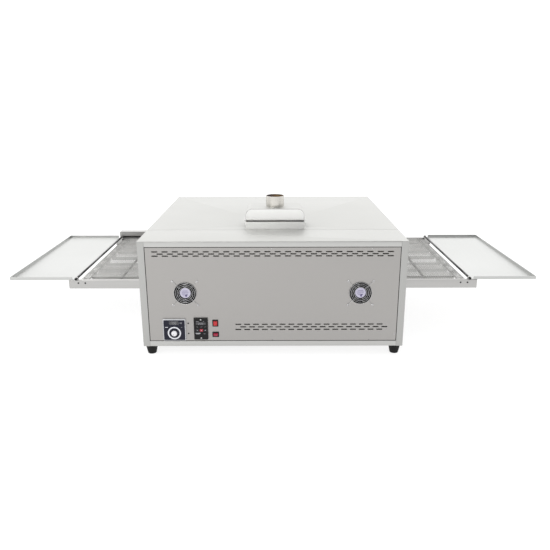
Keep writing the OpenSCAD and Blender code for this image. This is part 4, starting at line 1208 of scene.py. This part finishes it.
class OVEN_OT_fans(OvenStep, bpy.types.Operator):
    """Axial fans: moulded housings, curved blades and chromed finger guards"""
    bl_idname = "oven.fans"
    bl_label = "Fans"

    FACE = -562.2       # front of the housings

    def build(self):
        housings = Piece("moulded_fan_housings", "fan_black", ["fan_housings"])
        guards = Piece("chromed_fan_guards", "guard_chrome", ["fan_guards"])
        for side, name in ((-1, "left_fan_rotor"), (1, "right_fan_rotor")):
            self.housing(housings, side * FAN_X)
            self.guard(guards, side * FAN_X)
            self.rotor(side * FAN_X, name)
        housings.finish()
        guards.finish()

    def housing(self, piece, x):
        front, half = self.FACE, 59.5
        for y0, y1 in ((front, front + 4), (front + 21, front + 25)):
            outlines = [rounded(x - half, FAN_Z - half, x + half, FAN_Z + half, 5),
                        ring_points(x, FAN_Z, 57, 64)]
            outlines += [ring_points(cx, cz, 2.3, 16) for cx, cz in fan_corners(x)]
            piece.add(plate(outlines, "y", y0, y1, 0.5), "fan_plastic")
        barrel = [(57.05, 1), (58.6, 1), (58.6, 24), (57.05, 24)]
        piece.add(lathe(barrel, (x, front, FAN_Z), (0, 1, 0), 64, closed=True), "fan_plastic")
        hub = [(4.2, 0), (23, 0), (24, 1), (24, 4.4), (23.4, 5), (4.2, 5)]
        piece.add(lathe(hub, (x, front, FAN_Z), (0, 1, 0), 48, closed=True), "fan_plastic")
        for i in range(4):
            strut = box((x + 22, front + 0.9, FAN_Z - 2.6), (x + 57.2, front + 3.9, FAN_Z + 2.6), 0.5)
            piece.add(turned(strut, (x, 0, FAN_Z), math.pi / 4 + i * math.pi / 2), "fan_plastic")
        piece.add(lathe([(0, 0.35), (22.2, 0.35), (22.5, 0.1), (22.5, 0), (0, 0)], (x, front, FAN_Z),
                        FORWARD, 56), "fan_label")
        for mark in ((3, -12, 7, 10), (0, 9.5, 22, 2.2), (0, 4.5, 30, 1.2), (0, 1.6, 26, 1.2),
                     (-6, -2.5, 18, 1.2), (8, -2.5, 6, 1.2), (-5, -6.5, 14, 1.2), (7, -8, 6, 4.6),
                     (-5, -9.6, 12, 1.2)):
            stamp(piece, (x, FAN_Z), front - 0.42, front - 0.3, mark, "label_ink")

    def guard(self, piece, x):
        thick = sizes().guard_wire / 2
        y = FRONT - 4
        for radius in (26, 33, 40, 47):
            piece.add(ring((x, y, FAN_Z), FORWARD, radius, thick, 72), "chrome")
        for cx, cz in fan_corners(x):
            out = Vector((cx - x, 0, cz - FAN_Z)).normalized()
            centre = Vector((x, y + 1.7, FAN_Z))
            bend = Vector((x, y + 4, FAN_Z)) + out * 71
            arm = [centre + out * reach for reach in (25, 40, 60, 66)] + [bend]
            piece.add(wire(arm, thick, 10), "chrome")
            eyelet = [(2.4, 0), (4.9, 0), (5, 0.4), (5, 1.9), (4.6, 2.4), (2.4, 2.4)]
            piece.add(lathe(eyelet, (cx, PANEL - 0.2, cz), FORWARD, 28, closed=True), "chrome")

    def rotor(self, x, node):
        piece = Piece(node + "_moulded", "fan_black", [node], node)
        front = self.FACE
        hub = [(0, 5.6), (19.6, 5.6), (21, 6.6), (21, 23), (20, 24), (0, 24)]
        piece.add(lathe(hub, (x, front, FAN_Z), (0, 1, 0), 48), "fan_plastic")
        piece.add(rod((x, front + 3.4, FAN_Z), (x, front + 5.8, FAN_Z), 4.05, 0.3, 20), "bright_steel")
        blades = sizes().fan_blades
        for i in range(blades):
            piece.add(turned(self.blade(x), (x, 0, FAN_Z), FULL_TURN * i / blades), "fan_plastic")
        piece.finish()

    def blade(self, x):
        """Cambered and twisted blade, lofted through sections that sit on circles round the shaft."""
        loops = []
        for step in range(7):
            share = step / 6
            radius = 20 + 34.3 * share
            chord = 25 + 7 * share
            pitch = math.radians(42 - 13 * share)
            sweep = 0.30 * share
            loop = []
            for side in (1, -1):
                for k in range(7):
                    t = k / 6 if side > 0 else 1 - k / 6
                    along = (t - 0.5) * chord
                    lift = 3.0 * (1 - (2 * t - 1) ** 2) + side * 0.8 * (1 - 0.8 * abs(2 * t - 1))
                    around = along * math.cos(pitch) - lift * math.sin(pitch)
                    depth = along * math.sin(pitch) + lift * math.cos(pitch)
                    angle = around / radius + sweep
                    loop.append((x + radius * math.cos(angle), self.FACE + 14 + depth * 0.9,
                                 FAN_Z + radius * math.sin(angle)))
            loops.append(loop)
        return loft(loops)


# ---------------------------------------------------------------- controls

SEGMENTS = {"0": "abcdef", "1": "bc", "2": "abged", "3": "abgcd", "5": "afgcd", "8": "abcdefg"}


def digits(piece, text, centre, height, face, look):
    """Row of seven-segment digits printed on a face that looks forward."""
    width, bar = height * 0.52, height * 0.12
    places = {"a": (0, 1, 1), "g": (0, 0.5, 1), "d": (0, 0, 1), "f": (0, 0.75, 0), "b": (1, 0.75, 0),
              "e": (0, 0.25, 0), "c": (1, 0.25, 0)}
    start = centre[0] - (len(text) * width * 1.5 - width * 0.5) / 2
    for i, digit in enumerate(text):
        for segment in SEGMENTS[digit]:
            sx, sz, flat = places[segment]
            x, z = start + i * width * 1.5 + sx * width, centre[1] - height / 2 + sz * height
            w, h = (width, bar) if flat else (bar, height / 2)
            x0 = x if flat else x - bar / 2
            piece.add(box((x0, face - 0.12, z - h / 2), (x0 + w, face, z + h / 2), 0), look)


class OVEN_OT_thermostat(OvenStep, bpy.types.Operator):
    """Square temperature controller with its window, printed scale and turning dial"""
    bl_idname = "oven.thermostat"
    bl_label = "Temperature controller"

    def build(self):
        x, z = THERMO
        half, front = 48, FRONT - 9
        piece = Piece("temperature_controller_case", "controller_dark", ["temperature_controller"])
        piece.add(box((x - half, front + 0.5, z - half), (x + half, PANEL, z + half), 1.6, 3), "rim_silver")
        face = [rounded(x - 45.4, z - 45.4, x + 45.4, z + 45.4, 3),
                rounded(x - 19.5, 144.6, x + 18.5, 159.4, 1)]
        piece.add(plate(face, "y", front - 0.1, front + 1.2, 0.3), "face_navy")
        piece.add(box((x - 44, PANEL - 0.2, z - 38.5), (x + 44, FRONT + 75, z + 44), 1.5), "black_plastic")
        cx, cz = DIAL
        band = [(22.6, 0), (28.4, 0), (28.4, 0.3), (28.1, 0.5), (22.9, 0.5), (22.6, 0.3)]
        piece.add(lathe(band, (cx, front, cz), FORWARD, 96, closed=True), "print_white")
        count = sizes().dial_marks
        for i in range(count):
            angle = math.radians(-150 + 300 * i / (count - 1))
            length = 3.4 if i % 4 == 0 else 2.0
            tick = box((cx - 0.3, front - 0.62, cz + 28 - length), (cx + 0.3, front - 0.45, cz + 27.8), 0)
            piece.add(turned(tick, (cx, 0, cz), angle), "face_navy")
        piece.add(box((x - 39, front - 0.25, 131), (x - 27, front, 133.6), 0), "print_white")
        piece.add(box((x + 30, front - 0.25, 131.2), (x + 34, front, 133.2), 0), "print_grey")
        for dz in (0, 4.2):
            piece.add(box((x + 24, front - 0.25, 148.4 + dz), (x + 34, front, 150 + dz), 0), "print_grey")
        piece.finish()
        self.window()
        self.dial(front)

    def window(self):
        piece = Piece("display_windows", "display_window", ["controller_windows"])
        x = THERMO[0] - 0.5
        piece.add(box((x - 18.6, FRONT - 8.8, 145), (x + 18.6, FRONT - 8, 159), 0.3), "window")
        digits(piece, "250", (x, 152), 8.6, FRONT - 8.8, "print_grey")
        x = SPEED[0]
        piece.add(box((x - 21, FRONT - 4.8, 141.5), (x + 21, FRONT - 4, 152.5), 0.3), "window")
        digits(piece, "0500", (x, 147), 7, FRONT - 4.8, "print_grey")
        piece.finish()

    def dial(self, front):
        cx, cz = DIAL
        piece = Piece("temperature_dial_knob", "knob_white", ["temperature_knob"], "temperature_dial")
        knob = [(0, 9), (10.4, 9), (11.5, 8.4), (12, 7.2), (12, 1.4), (11.4, 0.6), (0, 0.6)]
        piece.add(lathe(knob, (cx, front, cz), FORWARD, 64), "white_plastic")
        for i in range(24):
            rib = box((cx - 0.45, front - 7.4, cz + 11.7), (cx + 0.45, front - 1.6, cz + 12.25), 0.15, 1)
            piece.add(turned(rib, (cx, 0, cz), FULL_TURN * i / 24), "white_plastic")
        pointer = box((cx - 0.8, front - 9.05, cz + 3), (cx + 0.8, front - 8.8, cz + 10.6), 0)
        piece.add(turned(pointer, (cx, 0, cz), math.radians(-150)), "face_navy")
        piece.add(rod((cx, front - 1, cz), (cx, FRONT - 2, cz), 4.0, 0.2, 24), "bright_steel")
        piece.finish()


class OVEN_OT_speed(OvenStep, bpy.types.Operator):
    """Speed controller: black face with a window, printed marks and three buttons"""
    bl_idname = "oven.speed"
    bl_label = "Speed controller"

    def build(self):
        x, z = SPEED
        front = FRONT - 5
        piece = Piece("speed_controller_case", "controller_black", ["speed_controller"])
        holes = [rounded(x - 21.3, 141.2, x + 21.3, 152.8, 0.8, 2)]
        middle = x + 1.8
        for i in (-1, 0, 1):
            holes.append(rounded(middle + 17 * i - 7.3, 110.8, middle + 17 * i + 7.3, 122.6, 1, 2))
        face = [rounded(x - 30, z - 49, x + 30, z + 49, 2.5)] + holes
        piece.add(plate(face, "y", front, front + 4, 0.6, 2), "face_black")
        piece.add(box((x - 29.5, front + 3.9, z - 48.5), (x + 29.5, PANEL, z + 48.5), 0.3), "face_black")
        piece.add(box((x - 24, PANEL - 0.2, z - 35), (x + 24, FRONT + 60, z + 35), 1.5), "black_plastic")
        for dz in (-42, 42):
            pan_screw(piece, (x, front, z + dz), FORWARD, 3.4, 1.2)
        for mark in ((-14, 33.5, 12, 2), (12, 35, 4, 1.6), (-15.5, 9.5, 6, 1.2), (1.8, 9.5, 7, 1.2),
                     (18.5, 9.5, 6, 1.2), (-13, -24, 16, 1.4), (14, -22, 8, 1.4)):
            stamp(piece, SPEED, front - 0.12, front, mark, "print_grey")
        stamp(piece, SPEED, front - 0.12, front, (-13, -19.5, 20, 2.2), "print_white")
        piece.finish()
        bar, upright, dot = (0, 0, 4.4, 0.9), (0, 0, 0.9, 4.4), (0, 0, 2.2, 2.2)
        for i, body, look, marks in ((-1, "minus_button", "button_grey", [bar]),
                                     (0, "run_button", "button_red", [dot]),
                                     (1, "plus_button", "button_grey", [bar, upright])):
            self.button(middle + 17 * i, body, look, marks)

    def button(self, x, body, look, marks):
        z, front = 116.7, FRONT - 6.5
        piece = Piece(body + "_cap", look, [body], body)
        piece.add(box((x - 7, front, z - 5.6), (x + 7, front + 3.4, z + 5.6), 1.1, 3), look)
        for mark in marks:
            stamp(piece, (x, z), front - 0.1, front + 0.1, mark, "print_white")
        piece.finish()


class OVEN_OT_switches(OvenStep, bpy.types.Operator):
    """Two rocker switches in snap-in frames"""
    bl_idname = "oven.switches"
    bl_label = "Rocker switches"

    def build(self):
        frames = Piece("rocker_frames", "black_plastic", ["switch_frames"])
        for (x, z), (w, h), body, look in ((POWER_SWITCH, (25, 30), "power_rocker", "rocker_red"),
                                           (DRIVE_SWITCH, (28, 23), "drive_rocker", "rocker_dark_red")):
            x0, x1, z0, z1 = x - w / 2, x + w / 2, z - h / 2, z + h / 2
            rim = [rounded(x0, z0, x1, z1, 1.6), rounded(x0 + 3, z0 + 3, x1 - 3, z1 - 3, 0.6, 2)]
            frames.add(plate(rim, "y", FRONT - 2, PANEL, 0.5, 2), "black_plastic")
            shell = [rounded(x0 + 2.6, z0 + 2.6, x1 - 2.6, z1 - 2.6, 1),
                     rounded(x0 + 4, z0 + 4, x1 - 4, z1 - 4, 0.6, 2)]
            frames.add(plate(shell, "y", PANEL - 0.1, FRONT + 12, 0), "black_plastic")
            body_box = box((x0 + 2.6, FRONT + 11.9, z0 + 2.6), (x1 - 2.6, FRONT + 26, z1 - 2.6), 0.6)
            frames.add(body_box, "black_plastic")
            for dx in (-4, 4):
                blade = box((x + dx - 0.4, FRONT + 25, z - 3), (x + dx + 0.4, FRONT + 34, z + 3), 0.1, 1)
                frames.add(blade, "bright_steel")
            self.rocker(x, z, w / 2 - 4.4, h / 2 - 4.4, body, look)
        frames.finish()

    def rocker(self, x, z, half, tall, body, look):
        """Rocker whose front is one hollow curve, with the rod that it tilts on."""
        piece = Piece(body + "_cap", look, [body], body)
        foot, hollow, head, rise = -3.4, 1.9, -5.2, tall - 0.6
        curve = []
        for i in range(13):
            t = i / 12
            y = (1 - t) ** 2 * foot + 2 * t * (1 - t) * hollow + t ** 2 * head
            curve.append((FRONT + y, z - rise + 2 * rise * t))
        outline = [(FRONT + 3, z - tall + 1)] + curve + [(FRONT + 3, z + tall - 1)]
        piece.add(plate([outline], "x", x - half, x + half, 0.7, 2), look)
        piece.add(rod((x - half - 1.2, FRONT + 1, z), (x + half + 1.2, FRONT + 1, z), 1.3, 0.2, 16), look)
        piece.finish()


class OVEN_OT_screws(OvenStep, bpy.types.Operator):
    """Screws and foot bolts"""
    bl_idname = "oven.screws"
    bl_label = "Screws"

    def build(self):
        piece = Piece("fasteners", "screw_steel", ["case_screws"])
        for x in (-413, -3, 413):
            pan_screw(piece, (x, PANEL, 475), FORWARD, 2.6, 1.6)
            pan_screw(piece, (x, PANEL, 69.3), FORWARD, 1.6, 1.2, "dark_screw_and_painted_shade")
        pan_screw(piece, (522, PANEL, 96), FORWARD, 3.4, 1.8)
        for z in (146.4, 100.1):
            pan_screw(piece, (-362.5, PANEL, z), FORWARD, 3.6, 1.8, "dark_screw_and_painted_shade")
        for side in (-1, 1):
            for x, z in fan_corners(side * FAN_X):
                spot = Vector((x, FRONT - 1.6, z))
                pan_screw(piece, spot, FORWARD, 4, 2.6)
                piece.add(rod(spot, spot + Vector((0, 35.6, 0)), 2, 0.2, 14), "screw_steel")
        for x in (-FOOT_X, FOOT_X):
            for y in (-FOOT_Y, FOOT_Y):
                piece.add(rod((x, y, 14), (x, y, BASE + 8), 4, 0.4, 20), "screw_steel")
                hex_head(piece, (x, y, BASE + 1.6), (0, 0, 1), 7.5, 5)
        for x in RAIL_SCREWS:
            pan_screw(piece, (x, NEAR, RAIL_SCREW_Z), FORWARD, 4, 2.2, "dark_screw_and_painted_shade")
            pan_screw(piece, (x, FAR, RAIL_SCREW_Z), (0, 1, 0), 4, 2.2)
        piece.finish()


class OVEN_OT_inside(OvenStep, bpy.types.Operator):
    """Baking chamber, burners, gas and electrical parts inside and behind the casing"""
    bl_idname = "oven.inside"
    bl_label = "Chamber and services"

    PLAIN = {"chamber_liner": "chamber_steel", "chamber_ends": "chamber_steel", "insulation_slabs": "wool",
             "burner_tubes": "burner_steel", "gas_manifold": "gas_pipe", "gas_valve": "motor_casting",
             "ignition_module": "module_plastic", "terminal_block": "black_plastic",
             "thermocouple": "bright_steel"}

    def build(self):
        for node, look in self.PLAIN.items():
            dress(node, look)
        self.inlet()
        self.gland()

    def inlet(self):
        """Brass nipple with its thread and lock nut."""
        piece = Piece("threaded_gas_inlet", "brass", ["gas_inlet"])
        x, z = GAS_INLET
        thread = []
        for i in range(9):
            y = 570 + i * 1.45
            thread += [(10.5, y), (9.9, y + 0.72)]
        profile = [(7.5, 545.2), (10.5, 545.2)] + thread + [(10.2, 583), (7.9, 583), (7.5, 582.6)]
        piece.add(lathe(profile, (x, 0, z), (0, 1, 0), 40, closed=True), "brass")
        nut = [hexagon(x, z, 16), ring_points(x, z, 10, 32)]
        piece.add(plate(nut, "y", BACK + 0.2, BACK + 4.2, 0.7), "brass")
        piece.finish()

    def gland(self):
        """Cable gland: domed cap with ribs, and a nut on each side of the sheet."""
        piece = Piece("ribbed_cable_gland", "black_plastic", ["cable_gland"])
        x, z = CABLE_GLAND
        dome = [(5, 553), (8, 553), (8, 571), (9.5, 577.4), (9.5, 579), (9.2, 581), (7.6, 582), (5.6, 582),
                (5, 581.4)]
        piece.add(lathe(dome, (x, 0, z), (0, 1, 0), 40, closed=True), "black_plastic")
        for y0, y1 in ((BACK - 7, BACK - 2), (BACK + 0.2, BACK + 6.2)):
            nut = [hexagon(x, z, 12), ring_points(x, z, 7.8, 32)]
            piece.add(plate(nut, "y", y0, y1, 0.6), "black_plastic")
        for i in range(16):
            rib = box((x - 0.5, 572.4, z + 8.3), (x + 0.5, 577.2, z + 9.6), 0.2, 1)
            piece.add(turned(rib, (x, 0, z), FULL_TURN * i / 16), "black_plastic")
        piece.finish()


# ---------------------------------------------------------------- stage

class OVEN_OT_stage(OvenStep, bpy.types.Operator):
    """Pale floor, soft studio lights and the camera at the oven's front"""
    bl_idname = "oven.stage"
    bl_label = "Stage"

    CAMERA_SPOT = (0.0086, -2.9106, 1.0727)
    LENS, SENSOR = 38.47, 36.0
    PITCH, ROLL, YAW = 16.857, -0.123, -0.014
    NEAR_ROOM, FAR_ROOM = 0.75, 1.6     # brightness of the room behind the camera and behind the oven

    def room(self):
        """White room whose far side, behind the oven, is the brightest."""
        world = bpy.data.worlds.new("white_room")
        world.use_nodes = True
        nodes, links = world.node_tree.nodes, world.node_tree.links
        place = nodes.new("ShaderNodeTexCoord")
        split = nodes.new("ShaderNodeSeparateXYZ")
        grade = nodes.new("ShaderNodeMapRange")
        for key, value in (("From Min", -0.5), ("From Max", 0.6), ("To Min", self.NEAR_ROOM),
                           ("To Max", self.FAR_ROOM)):
            grade.inputs[key].default_value = value
        links.new(place.outputs["Generated"], split.inputs["Vector"])
        links.new(split.outputs["Y"], grade.inputs["Value"])
        links.new(grade.outputs["Result"], nodes["Background"].inputs["Strength"])
        nodes["Background"].inputs["Color"].default_value = (1.0, 1.0, 1.0, 1.0)
        return world

    def build(self):
        scene = bpy.context.scene
        grid = bmesh.new()
        bmesh.ops.create_grid(grid, x_segments=8, y_segments=8, size=14)
        mesh = bpy.data.meshes.new("pale_floor")
        grid.to_mesh(mesh)
        grid.free()
        mesh.materials.append(material("floor"))
        floor = bpy.data.objects.new("pale_floor", mesh)
        scene.collection.objects.link(floor)
        for name, spot, aim, size, power, tint in (
                ("front_softbox", (-0.7, -3.6, 2.1), (-0.7, -3.4, 0), 1.8, 26, (1.0, 1.0, 0.99)),
                ("key_light", (-2.2, -2.3, 1.9), (-1.25, -1.9, 0), 0.8, 24, (1.0, 0.995, 0.98))):
            data = bpy.data.lights.new(name, "AREA")
            data.size, data.energy, data.color = size, power, tint
            light = bpy.data.objects.new(name, data)
            light.location = spot
            light.rotation_euler = (Vector(aim) - Vector(spot)).to_track_quat("-Z", "Y").to_euler()
            scene.collection.objects.link(light)
        scene.world = self.room()
        scene.view_settings.view_transform = "Standard"
        data = bpy.data.cameras.new("front_camera")
        data.lens, data.sensor_width = self.LENS, self.SENSOR
        camera = bpy.data.objects.new("front_camera", data)
        turn = (Matrix.Rotation(math.radians(self.YAW), 4, "Z")
                @ Matrix.Rotation(math.radians(90 - self.PITCH), 4, "X")
                @ Matrix.Rotation(math.radians(self.ROLL), 4, "Z"))
        camera.matrix_world = Matrix.Translation(self.CAMERA_SPOT) @ turn
        scene.collection.objects.link(camera)
        scene.camera = camera


PIECES = (OVEN_OT_frame, OVEN_OT_casing, OVEN_OT_flue, OVEN_OT_feet, OVEN_OT_rails, OVEN_OT_belt,
          OVEN_OT_shafts, OVEN_OT_chain, OVEN_OT_trays, OVEN_OT_fans, OVEN_OT_thermostat, OVEN_OT_speed,
          OVEN_OT_switches, OVEN_OT_screws, OVEN_OT_inside, OVEN_OT_stage)


class OVEN_PT_sidebar(bpy.types.Panel):
    """Lists the oven's build steps and its settings"""
    bl_idname = "OVEN_PT_sidebar"
    bl_label = "Conveyor pizza oven"
    bl_space_type = "VIEW_3D"
    bl_region_type = "UI"
    bl_category = "Oven"

    def draw(self, context):
        for group in (context.scene.oven_sizes, context.scene.oven_colours):
            column = self.layout.column(align=True)
            for name in group.__annotations__:
                column.prop(group, name)
        for step in PIECES:
            self.layout.operator(step.bl_idname)


CLASSES = (OvenSizes, OvenColours) + PIECES + (OVEN_PT_sidebar,)


def register():
    for cls in CLASSES:
        bpy.utils.register_class(cls)
    bpy.types.Scene.oven_sizes = bpy.props.PointerProperty(type=OvenSizes)
    bpy.types.Scene.oven_colours = bpy.props.PointerProperty(type=OvenColours)


def unregister():
    del bpy.types.Scene.oven_colours
    del bpy.types.Scene.oven_sizes
    for cls in reversed(CLASSES):
        bpy.utils.unregister_class(cls)


def corners(bounds):
    return [[float(v) for v in corner] for corner in bounds]


def main():
    register()
    for step in PIECES:
        group, name = step.bl_idname.split(".")
        getattr(getattr(bpy.ops, group), name)()


if __name__ == "__main__":
    main()
